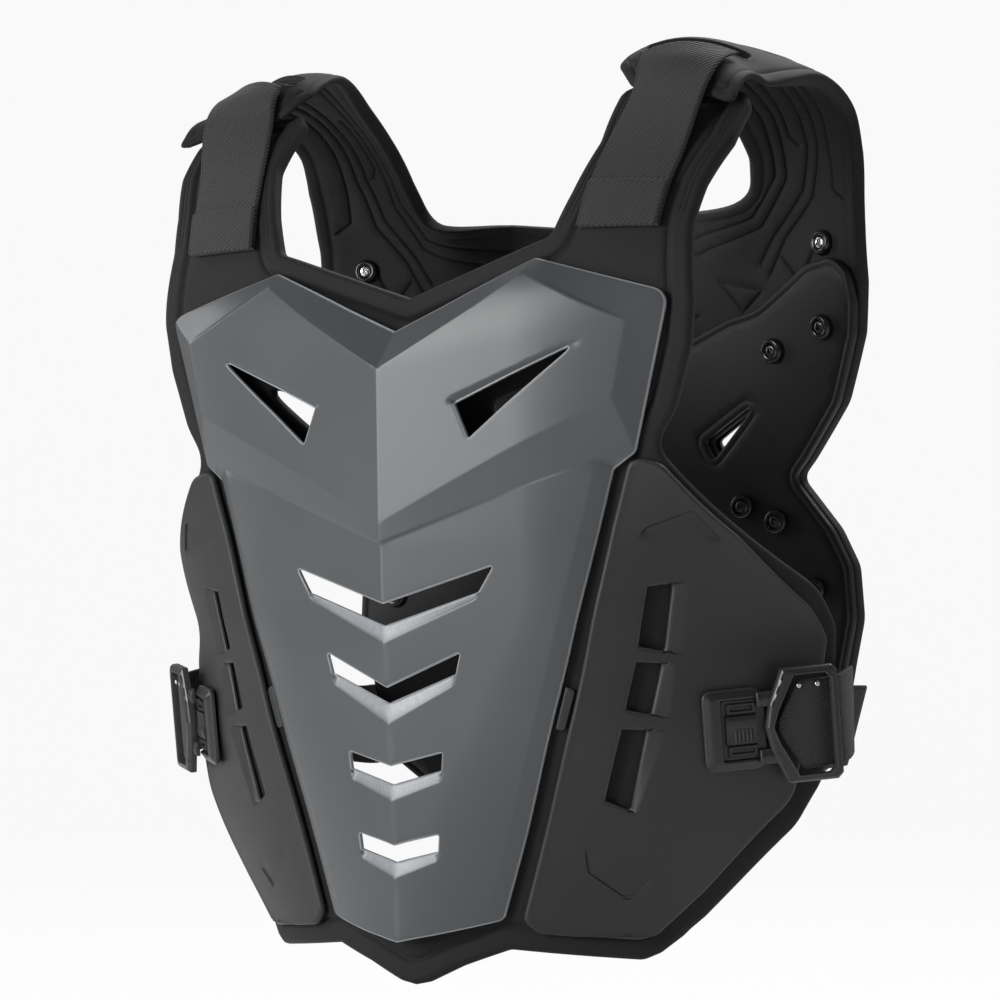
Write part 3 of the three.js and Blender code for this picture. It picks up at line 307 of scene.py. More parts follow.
def away(points, line, closed=True):
    """Distance of each point from a line of points."""
    line = np.asarray(line, float)
    start = line if closed else line[:-1]
    end = np.roll(line, -1, 0) if closed else line[1:]
    along = end - start
    long2 = np.maximum((along**2).sum(1), 1e-12)
    best = np.full(len(points), 1e9)
    for low in range(0, len(points), 4000):
        part = points[low : low + 4000, None]
        t = np.clip(((part - start) * along).sum(2) / long2, 0, 1)
        gap = np.linalg.norm(part - start - t[..., None] * along, axis=2)
        best[low : low + 4000] = gap.min(1)
    return best


def side_rows(line, offsets, step, closed):
    """Points beside a line at each offset to its left."""
    points = chain(line, step, closed)
    if closed:
        along = np.roll(points, -1, 0) - np.roll(points, 1, 0)
    else:
        along = np.gradient(points, axis=0)
    along /= np.maximum(np.linalg.norm(along, axis=1, keepdims=True), 1e-9)
    left = np.stack([-along[:, 1], along[:, 0]], 1)
    return [points + left * offset for offset in offsets]


def flat_mesh(loop, holes=(), lines=(), *, rim, step=4.0, line_rows=(0.0,), thin=0.3):
    """Fills the loop less its holes with small triangles. Rows of points follow the rims and the lines."""
    loops = [np.asarray(loop, float), *[np.asarray(hole, float) for hole in holes]]
    edge_step = 0.8 * step
    points, edges = [], []
    for one in loops:
        ring = chain(one, edge_step)
        first = len(points)
        points += list(ring)
        edges += [(first + i, first + (i + 1) % len(ring)) for i in range(len(ring))]
    rings = [chain(one, edge_step) for one in loops]

    def to_rim(at):
        return np.min([away(at, one) for one in loops], axis=0)

    def within(at):
        kept = inside(at, loops[0])
        for hole in loops[1:]:
            kept &= ~inside(at, hole)
        return kept

    extra = []
    for depth in rim:
        for one in rings:
            for row in side_rows(one, (depth, -depth), edge_step, True):
                ok = within(row) & (to_rim(row) > 0.93 * depth)
                extra.append(row[ok])
    deepest = max(rim)
    beside = []
    for line in lines:
        for row in side_rows(line, line_rows, edge_step, False):
            ok = within(row) & (to_rim(row) > deepest + 0.3 * step)
            beside.append(row[ok])
    low, high = loops[0].min(0), loops[0].max(0)
    rows = []
    tall = step * math.sqrt(0.75)
    for j, y in enumerate(np.arange(low[1], high[1], tall)):
        count = int(max(-low[0], high[0]) / step) + 2
        x = (np.arange(-count, count + 1) + 0.5 * (j % 2)) * step
        rows.append(np.stack([x, np.full_like(x, y)], 1))
    grid = np.concatenate(rows)
    grid = grid[within(grid)]
    grid = grid[to_rim(grid) > deepest + 0.5 * step]
    reach = max(np.abs(line_rows)) + 0.5 * step
    for line in lines:
        grid = grid[away(grid, line, False) > reach]
    if beside:
        # Rows of neighbouring lines may cross, so points that nearly meet are thinned out.
        thick = np.concatenate(beside)
        _, kept = np.unique(np.round(thick / thin), axis=0, return_index=True)
        extra.append(thick[np.sort(kept)])
    everything = np.concatenate([np.array(points), *extra, grid])
    found = delaunay_2d_cdt([Vector(p) for p in everything], edges, [], 0, 1e-4)
    flat = np.array([v[:] for v in found[0]])
    faces = np.array(found[2])
    faces = faces[within(flat[faces].mean(1))]
    used, faces = np.unique(faces, return_inverse=True)
    faces = faces.reshape(-1, 3)
    flat = flat[used]
    a, b, c = (flat[faces[:, i]] for i in range(3))
    turn = np.cross(b - a, c - a)
    faces[turn < 0] = faces[turn < 0][:, ::-1]
    return flat, faces, to_rim(flat)


def edge_drop(rim, radius):
    """How far a face falls at a distance from its rim, for a rim rounded by a radius."""
    inner = np.clip(radius - rim, 0, radius)
    return radius - np.sqrt(np.maximum(radius**2 - inner**2, 0))


def rim_rows(radius):
    return [radius * (1 - math.cos(math.radians(a))) for a in (35, 62, 90)]


def finish_mesh(name, points, faces, uv=None, marks=None, sharp=40):
    mesh = bpy.data.meshes.new(name)
    mesh.from_pydata([tuple(p) for p in np.asarray(points) * MM], [], [list(map(int, f)) for f in faces])
    mesh.validate()
    mesh.shade_smooth()
    mesh.set_sharp_from_angle(angle=math.radians(sharp))
    corner = np.zeros(len(mesh.loops), np.int32)
    mesh.loops.foreach_get("vertex_index", corner)
    if uv is not None:
        layer = mesh.uv_layers.new(name="flat")
        layer.data.foreach_set("uv", (np.asarray(uv)[corner] * MM).astype(np.float32).ravel())
    for mark, values in (marks or {}).items():
        attribute = mesh.attributes.new(mark, "FLOAT", "POINT")
        attribute.data.foreach_set("value", np.asarray(values, np.float32))
    made = bpy.data.objects.new(name, mesh)
    bpy.context.scene.collection.objects.link(made)
    return made


def panel(name, flat, front, behind, marks=None, inward=False, sharp=40):
    """Closes a flat mesh into a body: front and behind give its two faces, marks its shader values."""
    points, faces, rim = flat
    x, height = points.T
    outer = front(x, height, rim)
    inner = behind(x, height, rim)
    count = len(points)
    flip = faces[:, ::-1]
    sides = {}
    for a, b, c in faces:
        for start, end in ((a, b), (b, c), (c, a)):
            if sides.pop((end, start), None) is None:
                sides[(start, end)] = True
    walls = [(end, start, start + count, end + count) for start, end in sides]
    made = [*map(tuple, faces), *map(tuple, flip + count), *walls]
    if inward:
        made = [face[::-1] for face in made]
    values = {"rim": np.concatenate([rim, rim])}
    for mark, of in (marks or {}).items():
        value = of(x, height)
        values[mark] = np.concatenate([value, value])
    return finish_mesh(
        name, np.concatenate([outer, inner]), made, np.concatenate([points, points]), values, sharp
    )


# Materials


class Shader:
    """A small helper that adds nodes to a material."""

    def __init__(self, name):
        self.material = bpy.data.materials.new(name)
        self.material.use_nodes = True
        self.tree = self.material.node_tree
        self.surface = self.tree.nodes["Principled BSDF"]

    def join(self, socket, value):
        if isinstance(value, bpy.types.NodeSocket):
            self.tree.links.new(value, socket)
        else:
            socket.default_value = value

    def node(self, kind, **inputs):
        made = self.tree.nodes.new("ShaderNode" + kind)
        for key, value in inputs.items():
            self.join(made.inputs[key], value)
        return made

    def set(self, **values):
        for key, value in values.items():
            self.join(self.surface.inputs[key.replace("_", " ")], value)

    def mapped(self, source="UV", scale=(1, 1, 1), turn=0.0):
        vector = self.node("TexCoord").outputs[source]
        mapping = self.node("Mapping", Vector=vector, Scale=scale, Rotation=(0, 0, math.radians(turn)))
        return mapping.outputs["Vector"]

    def noise(self, vector, scale, detail=3.0, rough=0.55):
        made = self.node("TexNoise", Vector=vector, Scale=scale, Detail=detail, Roughness=rough)
        return made.outputs["Fac"]

    def wave(self, vector, scale, distortion):
        made = self.node("TexWave", Vector=vector, Scale=scale, Distortion=distortion)
        return made.outputs["Fac"]

    def math(self, operation, a, b=0.5, c=0.5):
        made = self.node("Math")
        made.operation = operation
        for socket, value in zip(made.inputs, (a, b, c)):
            self.join(socket, value)
        return made.outputs[0]

    def ramp(self, value, stops):
        made = self.node("ValToRGB", Fac=value)
        while len(made.color_ramp.elements) < len(stops):
            made.color_ramp.elements.new(0.5)
        for element, (place, color) in zip(made.color_ramp.elements, stops):
            element.position = place
            element.color = (*color, 1)
        return made.outputs["Color"]

    def mix(self, share, a, b):
        made = self.node("Mix")
        made.data_type = "RGBA"
        self.join(made.inputs[0], share)
        for socket, value in ((made.inputs[6], a), (made.inputs[7], b)):
            self.join(socket, (*value, 1) if isinstance(value, tuple) else value)
        return made.outputs[2]

    def mark(self, name):
        made = self.node("Attribute")
        made.attribute_name = name
        return made.outputs["Fac"]

    def bump(self, height, strength, distance):
        made = self.node("Bump", Height=height, Strength=strength, Distance=distance)
        return made.outputs["Normal"]


def grey(value, tint=(1, 1, 1)):
    return tuple(value * t for t in tint)


COOL = (0.94, 0.99, 1.05)


def plastic(name, base, roughness, grain=0.06, edge=0.12):
    """Moulded plastic: a fine grain, a slow change of tone, scuffs, and a painted highlight: paler colour
    along its rim.
    """
    s = Shader(name)
    object_space = s.mapped("Object")
    slow = s.noise(object_space, 6, 2)
    tone = s.ramp(slow, [(0.3, grey(base * 0.9, COOL)), (0.7, grey(base * 1.12, COOL))])
    fine = s.noise(object_space, 1400, 4, 0.7)
    scratch = s.noise(s.mapped("Object", (40, 40, 900)), 3, 4, 0.7)
    # Painted highlight: the colour turns paler close to each edge, standing in for the bright lines that
    # light draws on the rims.
    painted_edge_highlight = s.ramp(s.mark("rim"), [(0.0, (1, 1, 1)), (0.45, (1, 1, 1)), (1.0, (0, 0, 0))])
    tone = s.mix(s.math("MULTIPLY", painted_edge_highlight, edge), tone, grey(base * 4 + 0.03, COOL))
    rough = s.math("MULTIPLY_ADD", scratch, 0.12, roughness - 0.06)
    s.set(Base_Color=tone, Roughness=rough, Normal=s.bump(fine, grain, 0.0004))
    return s


def foam(name, base, roughness, sheen, grain=0.35):
    """Moulded foam faced with a fine knit: a grainy weave, a soft sheen and slow dusty patches."""
    s = Shader(name)
    flat = s.mapped("UV")
    knit = s.noise(flat, 900, 3, 0.6)
    across = s.wave(s.mapped("UV", turn=45), 260, 1.2)
    slow = s.noise(s.mapped("Object"), 9, 3)
    tone = s.ramp(slow, [(0.3, grey(base * 0.8)), (0.72, grey(base * 1.25))])
    tone = s.mix(s.math("MULTIPLY", knit, 0.35), tone, grey(base * 2.2))
    s.set(Base_Color=tone, Roughness=s.math("MULTIPLY_ADD", slow, 0.14, roughness - 0.07))
    s.set(Sheen_Weight=sheen, Sheen_Roughness=0.45, Specular_IOR_Level=0.35)
    weave = s.math("MULTIPLY_ADD", across, 0.4, knit)
    s.set(Normal=s.bump(weave, grain, 0.0006))
    return s


WAVE = 2 * math.pi / 20  # the wave texture's period times its scale


def woven(name, base, pitch, tilt=52):
    """Woven webbing: diagonal twill ribs crossed by the warp, paler on the ribs."""
    s = Shader(name)
    ribs = s.wave(s.mapped("UV", turn=tilt), WAVE / pitch, 0.4)
    warp = s.wave(s.mapped("UV"), WAVE / (0.8 * pitch), 0.3)
    fuzz = s.noise(s.mapped("UV"), 2600, 3, 0.7)
    height = s.math("MULTIPLY_ADD", warp, 0.45, ribs)
    height = s.math("MULTIPLY_ADD", fuzz, 0.35, height)
    slow = s.noise(s.mapped("Object"), 14, 3)
    low = s.ramp(slow, [(0.3, grey(base * 0.55)), (0.7, grey(base * 0.8))])
    tone = s.mix(s.math("MULTIPLY", height, 0.6), low, grey(base * 2.4))
    bound = s.ramp(s.mark("share"), [(0.9, (0, 0, 0)), (0.93, (1, 1, 1))])
    s.set(Base_Color=s.mix(bound, tone, grey(base * 0.5)), Roughness=0.78, Sheen_Weight=0.12)
    s.set(Normal=s.bump(height, 0.7, 0.0005))
    return s


def metal(name, base, roughness):
    s = Shader(name)
    around = s.noise(s.mapped("Object", (300, 300, 2400)), 4, 3)
    s.set(
        Base_Color=s.ramp(around, [(0.2, grey(base * 0.85)), (0.8, grey(base))]),
        Roughness=s.math("MULTIPLY_ADD", around, 0.15, roughness - 0.07),
    )
    s.set(Metallic=1.0)
    return s


# edge=1.0 paints the shell's rims fully paler: a painted highlight along its flange edges.
shell_look = plastic("shell", 0.085, 0.33, edge=1.0)
# The chevron slots' lower lips are bare and scuffed, and painted far paler as well: a painted highlight for
# their bright satin sheen.
lips = shell_look.mark("lip")
brushed = shell_look.noise(shell_look.mapped("Object", (900, 60, 60)), 4, 4, 0.75)
bright = shell_look.mix(brushed, grey(0.12, COOL), grey(0.5, COOL))
moulded = shell_look.surface.inputs["Base Color"].links[0].from_socket
shell_look.set(Base_Color=shell_look.mix(lips, moulded, bright))

plate_look = plastic("plate", 0.016, 0.46, edge=0.5)
pad_look = foam("pad", 0.007, 0.74, sheen=0.05)
liner_look = foam("liner", 0.006, 0.5, sheen=0.02, grain=0.1)
back_look = plastic("back_plastic", 0.04, 0.42, edge=0.5)
webbing_look = woven("webbing", 0.015, 0.0021)
elastic_look = woven("elastic", 0.012, 0.0016, tilt=35)
buckle_look = plastic("buckle", 0.016, 0.3, grain=0.03, edge=0.25)
ring_look = plastic("ring", 0.02, 0.25, grain=0.03, edge=0.3)
washer_look = plastic("washer", 0.012, 0.2, grain=0.02, edge=0.0)
screw_look = metal("screw", 0.62, 0.22)
black_screw_look = metal("black_screw", 0.1, 0.3)


def dress(piece, look, slot, *nodes):
    piece.data.materials.append(look.material)
    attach(piece, "root")
    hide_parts(*nodes)


# Chest pad

NECK_AND_SHOULDER = [
    (0.0, -0.276),
    (0.378, -0.223),
    (0.436, -0.2155, 0.8),
    (0.48, -0.165, 2),
    (0.526, -0.1, 2),
    (0.52, -0.02),
    (0.55, -0.006, 0.9),
    (0.88, -0.006, 0.9),
    (0.91, -0.03, 1),
    (0.905, -0.09, 2),
    (0.862, -0.152, 2),
    (0.845, -0.2, 3),
    (0.857, -0.29, 3),
    (0.843, -0.342, 3),
    (0.793, -0.408, 3),
    (0.733, -0.446, 1.8),
]
CHEST_PAD = [
    *NECK_AND_SHOULDER,
    (1.024, -0.598, 2.2),
    (1.043, -0.64, 2),
    (1.043, -0.735, 4),
    (1.012, -0.805, 4),
    (0.95, -0.854, 4),
    (0.726, -0.953),
    (0.628, -0.99, 1),
    (0.59, -0.9975, 0.8),
    (0.278, -0.985, 0.8),
    (0.15, -1.003),
    (0.045, -1.022, 1),
    (0.0, -1.0255),
]
CHEST_WINDOW = [
    (0.0, -0.575),
    (0.34, -0.55, 0.8),
    (0.4, -0.572, 0.8),
    (0.26, -0.86, 0.8),
    (0.2, -0.898, 1),
    (0.0, -0.9),
]
CHEST_PAD_VENT = [(0.5, -0.363, 0.35), (0.255, -0.393, 0.35), (0.283, -0.43, 0.35)]


def both_ways(loop):
    return [loop, (loop * [-1, 1])[::-1]]


pad_loop = mirrored(outline(CHEST_PAD, closed=False))
window = mirrored(outline(CHEST_WINDOW, closed=False))
vents = both_ways(outline(CHEST_PAD_VENT))
PAD_ROUND = 3.6
BAND_INSIDE, BAND_OUTSIDE = 9.5, 12.5
GROOVES, GROOVE_WIDTH = (5.5, 8), 0.6
CHANNEL_PLACE, CHANNEL_WIDTH = 13.5, 1.3
pad_rows = [*rim_rows(PAD_ROUND), 4.8, 5.5, 6.2, 7.4, 8, 8.6, 10, 11, 12.2, 13, 13.8, 14.8, 16.5]
pad_flat = flat_mesh(pad_loop, [window, *vents], step=3.6, rim=pad_rows)


def channel(distance, place, half):
    return np.exp(-(((distance - place) / half) ** 2))


def pad_relief(x, height):
    """The pad's rim is a flat band with a channel inside it, and two fine grooves on the shoulder pieces."""
    outer = away(np.stack([x, height], 1), pad_loop)
    band = 0.9 * (1 - ease(BAND_INSIDE, BAND_OUTSIDE, outer))
    shoulder = ease(-0.21 * LENGTH, -0.19 * LENGTH, height)
    grooves = 0.45 * shoulder * sum(channel(outer, place, GROOVE_WIDTH) for place in GROOVES)
    return band - grooves - 1.2 * channel(outer, CHANNEL_PLACE, CHANNEL_WIDTH)


chest_pad = panel(
    "chest_pad",
    pad_flat,
    lambda x, h, rim: chest.place(x, h, pad_relief(x, h) - edge_drop(rim, PAD_ROUND) - 0.6),
    lambda x, h, rim: chest.place(x, h, edge_drop(rim, PAD_ROUND) - PAD),
)
dress(chest_pad, pad_look, "pad", "front_pad")

# Chest shell

SHELL_EDGE = [
    (0.0, -0.3144),
    (0.416, -0.2425, 0.5),
    (0.798, -0.283, 0.9),
    (0.688, -0.452, 0.7),
    (0.628, -0.47, 0.3),
    (0.523, -0.618),
    (0.418, -0.757),
    (0.341, -0.86),
    (0.268, -0.952, 0.6),
    (0.0, -0.977),
]
# Chevron slots: heights on the middle line, and the outer corners of the opening and of its lower lip
CHEVRON_COLUMNS = ("top", "low", "lip", "tip", "heel", "lip_heel")
CHEVRON_ROWS = [
    (-0.872, -0.89, -0.908, (0.121, -0.859), (0.116, -0.877), (0.11, -0.889)),
    (-0.786, -0.806, -0.824, (0.148, -0.771), (0.143, -0.79), (0.137, -0.803)),
    (-0.701, -0.718, -0.741, (0.212, -0.6635), (0.197, -0.686), (0.187, -0.7)),
    (-0.6106, -0.634, -0.6534, (0.3135, -0.5706), (0.271, -0.598), (0.252, -0.6084)),
]
CHEVRONS = [dict(zip(CHEVRON_COLUMNS, row)) for row in CHEVRON_ROWS]
VENT = dict(
    tip=(0.6095, -0.3254),
    upper=(0.209, -0.3898),
    lower=(0.2635, -0.4346),
    inner_tip=(0.56, -0.3365),
    inner_upper=(0.2235, -0.3965),
)
FACET = dict(top=(0.407, -0.2605), shoulder=(0.694, -0.313), elbow=(0.647, -0.395))
RIDGE_LINE = [(-0.977, 0.58), (-0.91, 0.61), (-0.74, 0.79), (-0.655, 0.92), (-0.545, 0.99)]
ridge_line = column(RIDGE_LINE, 1, RIDGE)


def middle(height):
    return np.array([0, height * LENGTH])


edge_rows = spots(SHELL_EDGE[4:9])


def shell_half_width(height):
    return np.interp(height, edge_rows[::-1, 1], edge_rows[::-1, 0])


BEVEL_WIDTH = 0.045 * HALF
BEVEL_SHARE = 0.2  # share of the shell's fall that its bevel takes


def lower_rise(x, height):
    half = shell_half_width(height)
    flat = half - BEVEL_WIDTH
    top = ridge_line(height)
    fall = top - FLANGE
    out = np.minimum(np.abs(x), half)
    slope = top - fall * (1 - BEVEL_SHARE) * out / flat
    return np.where(out <= flat, slope, FLANGE + fall * BEVEL_SHARE * (half - out) / BEVEL_WIDTH)


FACET_RISE, FACET_DIP = 0.44 * RIDGE, 0.17 * RIDGE
CREST_RISE, FACET_BOTTOM = 1.08 * RIDGE, 1.05 * RIDGE
NOTCH_RISE, PEAK_RISE = 0.46 * RIDGE, 0.17 * RIDGE
notch, peak, wing, hip = middle(-0.3144), spot(SHELL_EDGE[1]), spot(SHELL_EDGE[2]), spot(SHELL_EDGE[3])
facet_top, facet_shoulder, facet_elbow = (spot(FACET[key]) for key in ("top", "shoulder", "elbow"))
crest, chamfer_point, step_point = middle(-0.3562), middle(-0.524), middle(-0.545)
step_tip = spot((0.597, -0.458))


def cross2(a, b):
    return a[..., 0] * b[..., 1] - a[..., 1] * b[..., 0]


def facet_height(point):
    along = (facet_shoulder - crest) / np.linalg.norm(facet_shoulder - crest)
    above = np.maximum(cross2(along, point - crest), 0)
    reach = cross2(along, facet_top - crest)
    t = np.clip((crest[1] - point[..., 1]) / (crest[1] - chamfer_point[1]), 0, 1)
    ridge = CREST_RISE + (FACET_BOTTOM - CREST_RISE) * t
    out = point[..., 0] / facet_shoulder[0]
    return ridge - (ridge - FACET_RISE) * out - FACET_DIP * (above / reach) ** 2


top_at, shoulder_at, elbow_at = (
    (point, facet_height(point)) for point in (facet_top, facet_shoulder, facet_elbow)
)
peak_at, wing_at, hip_at = (peak, PEAK_RISE), (wing, FLANGE), (hip, FLANGE)
step_at = (step_point, ridge_line(step_point[1]) + 0.03 * RIDGE)
BEVELS = [
    [(notch, NOTCH_RISE), peak_at, top_at, (crest, CREST_RISE)],
    [peak_at, wing_at, shoulder_at, top_at],
    [wing_at, hip_at, elbow_at, shoulder_at],
    [elbow_at, hip_at, (step_tip, lower_rise(*step_tip)), step_at, (chamfer_point, FACET_BOTTOM)],
]
facet_loop = np.array([crest, facet_top, facet_shoulder, facet_elbow, chamfer_point])


def blended(loop, points):
    """Rise inside a loop of (spot, rise), by mean value weights."""
    arms = np.array([at for at, _ in loop])[None] - points[:, None]
    rises = np.array([float(rise) for _, rise in loop])
    following = np.roll(arms, -1, 1)
    half = np.tan(np.arctan2(cross2(arms, following), (arms * following).sum(2)) / 2)
    weight = np.abs(np.roll(half, 1, 1) + half) / np.maximum(np.linalg.norm(arms, axis=2), 1e-6)
    return (weight * rises).sum(1) / np.maximum(weight.sum(1), 1e-9)


def loop_away(points, loop):
    return np.where(inside(points, loop), 0, away(points, loop))


def dip(points, inner, outer):
    """Falls from nothing at the outer line to the lip's depth at the inner line."""
    loop = np.array([*inner, *outer[::-1]])
    to_inner = away(points, inner, False)
    to_outer = away(points, outer, False)
    within = loop_away(points, loop) < 1e-3
    return np.where(within, LIP * to_outer / np.maximum(to_inner + to_outer, 1e-6), 0)


def lip_dip(points):
    total = np.zeros(len(points))
    for c in CHEVRONS:
        total += dip(points, [middle(c["low"]), spot(c["heel"])], [middle(c["lip"]), spot(c["lip_heel"])])
    return total


VENT_FADE = (4, 22)  # distances from the vent's tip over which its dip grows


def vent_dip(points):
    inner = spots([VENT["inner_tip"], VENT["inner_upper"]])
    outer = spots([VENT["tip"], VENT["upper"]])
    from_tip = np.linalg.norm(points - outer[0], axis=1)
    return dip(points, inner, outer) * ease(*VENT_FADE, from_tip)


def shell_rise(x, height):
    points = np.stack([np.abs(x), height], 1)
    edge = step_tip - step_point
    below = cross2(edge, points - step_point) < -1e-6
    choices = [(loop_away(points, facet_loop) - 1e-3, facet_height(points) - vent_dip(points))]
    for loop in BEVELS:
        choices.append((loop_away(points, np.array([at for at, _ in loop])), blended(loop, points)))
    choices.append((np.where(below, 0, 1e9), lower_rise(x, height) - lip_dip(points)))
    gaps = np.array([gap for gap, _ in choices])
    rises = np.array([rise for _, rise in choices])
    return rises[gaps.argmin(0), np.arange(len(points))]


def softened(rise, radius):
    """The rise averaged over a small disc, which rounds its creases."""
    turns = [(0.0, 0.0)] + [
        (radius * share * math.cos(a), radius * share * math.sin(a))
        for share, count in ((0.5, 6), (1.0, 9))
        for a in np.linspace(0, 2 * math.pi, count, endpoint=False)
    ]
    return lambda x, height: np.mean([rise(x + dx, height + dy) for dx, dy in turns], axis=0)


soft_rise = softened(shell_rise, 0.7)

shell_loop = mirrored(outline(SHELL_EDGE, closed=False))
slots = [
    mirrored(outline([(0, c["low"]), (*c["heel"], 0.12), (*c["tip"], 0.1), (0, c["top"])], closed=False))
    for c in CHEVRONS
]
eye = outline([(*VENT["inner_tip"], 0.12), (*VENT["inner_upper"], 0.12), (*VENT["lower"], 0.12)])


def half_and_half(lines):
    return [line for one in lines for line in (np.array(one), np.array(one) * [-1, 1])]


bevel_heights = -np.linspace(0.48, 0.95, 12) * LENGTH
bevel_line = [(shell_half_width(height) - BEVEL_WIDTH, height) for height in bevel_heights]
shell_lines = [
    np.array([notch, middle(-0.6)]),
    *half_and_half(
        [
            [crest, facet_top, facet_shoulder, facet_elbow, chamfer_point],
            [peak, facet_top],
            [wing, facet_shoulder],
            [hip, facet_elbow],
            [step_tip, step_point],
            [spot(VENT["tip"]), spot(VENT["upper"])],
            bevel_line,
            *[[middle(c["lip"]), spot(c["lip_heel"]), spot(c["heel"])] for c in CHEVRONS],
        ]
    ),
]
shell_flat = flat_mesh(
    shell_loop,
    [*slots, *both_ways(eye)],
    shell_lines,
    step=3.4,
    rim=[*rim_rows(1.0), 1.9],
    line_rows=(-1.7, -0.9, -0.4, 0.0, 0.4, 0.9, 1.7),
)
chest_shell = panel(
    "chest_shell",
    shell_flat,
    lambda x, h, rim: chest.place(x, h, soft_rise(x, h) - edge_drop(rim, 1.0)),
    lambda x, h, rim: chest.place(x, h, soft_rise(x, h) - SHELL + edge_drop(rim, 0.6)),
    marks={"lip": lambda x, h: np.clip(lip_dip(np.stack([np.abs(x), h], 1)) * 1.2, 0, 1)},
)
dress(chest_shell, shell_look, "shell", "front_shell")

# Side plates

SIDE_PLATE = [
    (0.7, -0.4585, 1.2),
    (0.752, -0.464, 1.2),
    (0.9, -0.541),
    (0.995, -0.615, 1.8),
    (1.017, -0.652, 2),
    (1.012, -0.69, 2),
    (0.944, -0.822, 3),
    (0.73, -0.921),
    (0.618, -0.967, 1),
    (0.585, -0.975, 1),
    (0.35, -0.966, 0.8),
    (0.315, -0.952, 0.8),
    (0.486, -0.726),
    (0.615, -0.531),
    (0.668, -0.462, 1.2),
]
SIDE_SLOTS = [
    [(0.685, -0.594), (0.775, -0.588), (0.74, -0.667), (0.65, -0.657)],
    [(0.642, -0.674), (0.724, -0.677), (0.705, -0.735), (0.61, -0.725)],
    [(0.598, -0.746), (0.699, -0.748), (0.608, -0.836), (0.54, -0.822)],
]
SLOT_WIDTH = 0.055
MARK_FADE = 6
MARKS = [
    [(0.681, -0.539), (0.6945, -0.5314), (0.8045, -0.5132), (0.817, -0.515), (0.8605, -0.5446)],
    [(0.481, -0.8728), (0.482, -0.8988), (0.562, -0.928), (0.623, -0.9076)],
]


def slot_opening(slot):
    top, top_outer, low_outer, low = slot

    def mix(start, end):
        t = SLOT_WIDTH / (end[0] - start[0])
        return (start[0] + (end[0] - start[0]) * t, start[1] + (end[1] - start[1]) * t)

    return [(*top, 0.2), (*mix(top, top_outer), 0.2), (*mix(low, low_outer), 0.2), (*low, 0.2)]


def ramp_dip(points):
    """Beside each slot a ramp falls towards the opening."""
    total = np.zeros(len(points))
    for slot in SIDE_SLOTS:
        loop = spots(slot)
        to_open = away(points, spots(slot_opening(slot)[1:3]), False)
        to_outer = away(points, loop[1:3], False)
        fall = (PLATE - 1) * to_outer / np.maximum(to_open + to_outer, 1e-6)
        total = np.maximum(total, np.where(inside(points, loop), fall, 0))
    return total


plate_loop = outline(SIDE_PLATE)
plate_lines = [spots(line) for line in (*MARKS, *SIDE_SLOTS)]
plate_flat = flat_mesh(
    plate_loop,
    [outline(slot_opening(slot)) for slot in SIDE_SLOTS],
    plate_lines,
    step=3.4,
    rim=[*rim_rows(1.5), 2.6],
    line_rows=(-1.4, -0.25, 0.25, 1.4),
)


def plate_relief(points):
    """The slots' ramps and two chevron marks, each a step that fades out inside the chevron."""
    total = -ramp_dip(points)
    for line in MARKS:
        loop = spots(line)
        total -= inside(points, loop) * channel(away(points, loop, False), 0, MARK_FADE)
    edge = away(points, plate_loop)
    return total + 0.35 * channel(edge, 1.6, 0.9)


for side, sign in SIDES:
    piece = panel(
        "side_plate_" + side + "_skin",
        plate_flat,
        lambda x, h, rim: chest.place(
            sign * x, h, LAYER + PLATE - edge_drop(rim, 1.5) + plate_relief(np.stack([x, h], 1))
        ),
        lambda x, h, rim: chest.place(sign * x, h, LAYER + edge_drop(rim, 0.6)),
        inward=sign < 0,
    )
    dress(piece, plate_look, "plate", "side_plate_" + side)

# Shell tabs

SHELL_TAB = [(0.47, -0.7), (0.494, -0.704, 0.7), (0.46, -0.748, 0.7), (0.436, -0.746)]
tab_flat = flat_mesh(outline(SHELL_TAB), step=1.5, rim=rim_rows(0.8))
for side, sign in SIDES:
    piece = panel(
        "shell_tab_" + side + "_skin",
        tab_flat,
        lambda x, h, rim: chest.place(sign * x, h, SEAT + 2 - edge_drop(rim, 0.8)),
        lambda x, h, rim: chest.place(sign * x, h, SEAT + 0 * x),
        inward=sign < 0,
    )
    dress(piece, buckle_look, "buckle", "shell_tab_" + side)

# Back pad

BACK_PAD_EDGE = [
    (0.0, -0.158),
    (0.33, -0.142, 2),
    (0.54, -0.122, 2),
    (0.565, -0.06, 3),
    (0.56, 0.02, 3),
    (0.545, 0.1, 3),
    (0.515, 0.18, 3),
    (0.505, 0.225, 2),
    (0.5, 0.265, 0.9),
    (0.57, 0.304, 1),
    (0.82, 0.322, 1),
    (0.905, 0.335, 0.4),
    (0.91, 0.28, 2),
    (0.93, 0.18, 3),
    (0.94, 0.06, 3),
    (0.945, -0.06, 3),
    (0.93, -0.16, 3),
    (0.925, -0.24, 3),
    (0.9, -0.298, 3),
    (0.825, -0.375, 3),
    (0.7, -0.44, 2),
    (0.655, -0.46, 1.5),
    (0.78, -0.52, 3),
    (0.835, -0.563, 2),
    (0.845, -0.624, 3),
    (0.815, -0.675, 3),
    (0.772, -0.757, 3),
    (0.737, -0.79, 2),
    (0.6, -0.83, 2),
    (0.35, -0.86),
    (0.0, -0.868),
]
FLAP_SLOT = [(0.57, 0.234, 0.3), (0.83, 0.196, 0.3), (0.835, 0.216, 0.3), (0.575, 0.254, 0.3)]
BACK_VENT = [(0.354, -0.415, 0.3), (0.385, -0.438, 0.3), (0.56, -0.363, 0.3)]
LINER_EDGE = [
    (0.0, -0.335),
    (0.33, -0.293, 2),
    (0.46, -0.271, 2),
    (0.555, -0.262, 2),
    (0.74, -0.217, 2),
    (0.85, -0.21, 1.4),
    (0.905, -0.225, 1.4),
    (0.917, -0.26, 1),
    *BACK_PAD_EDGE[-13:],
]
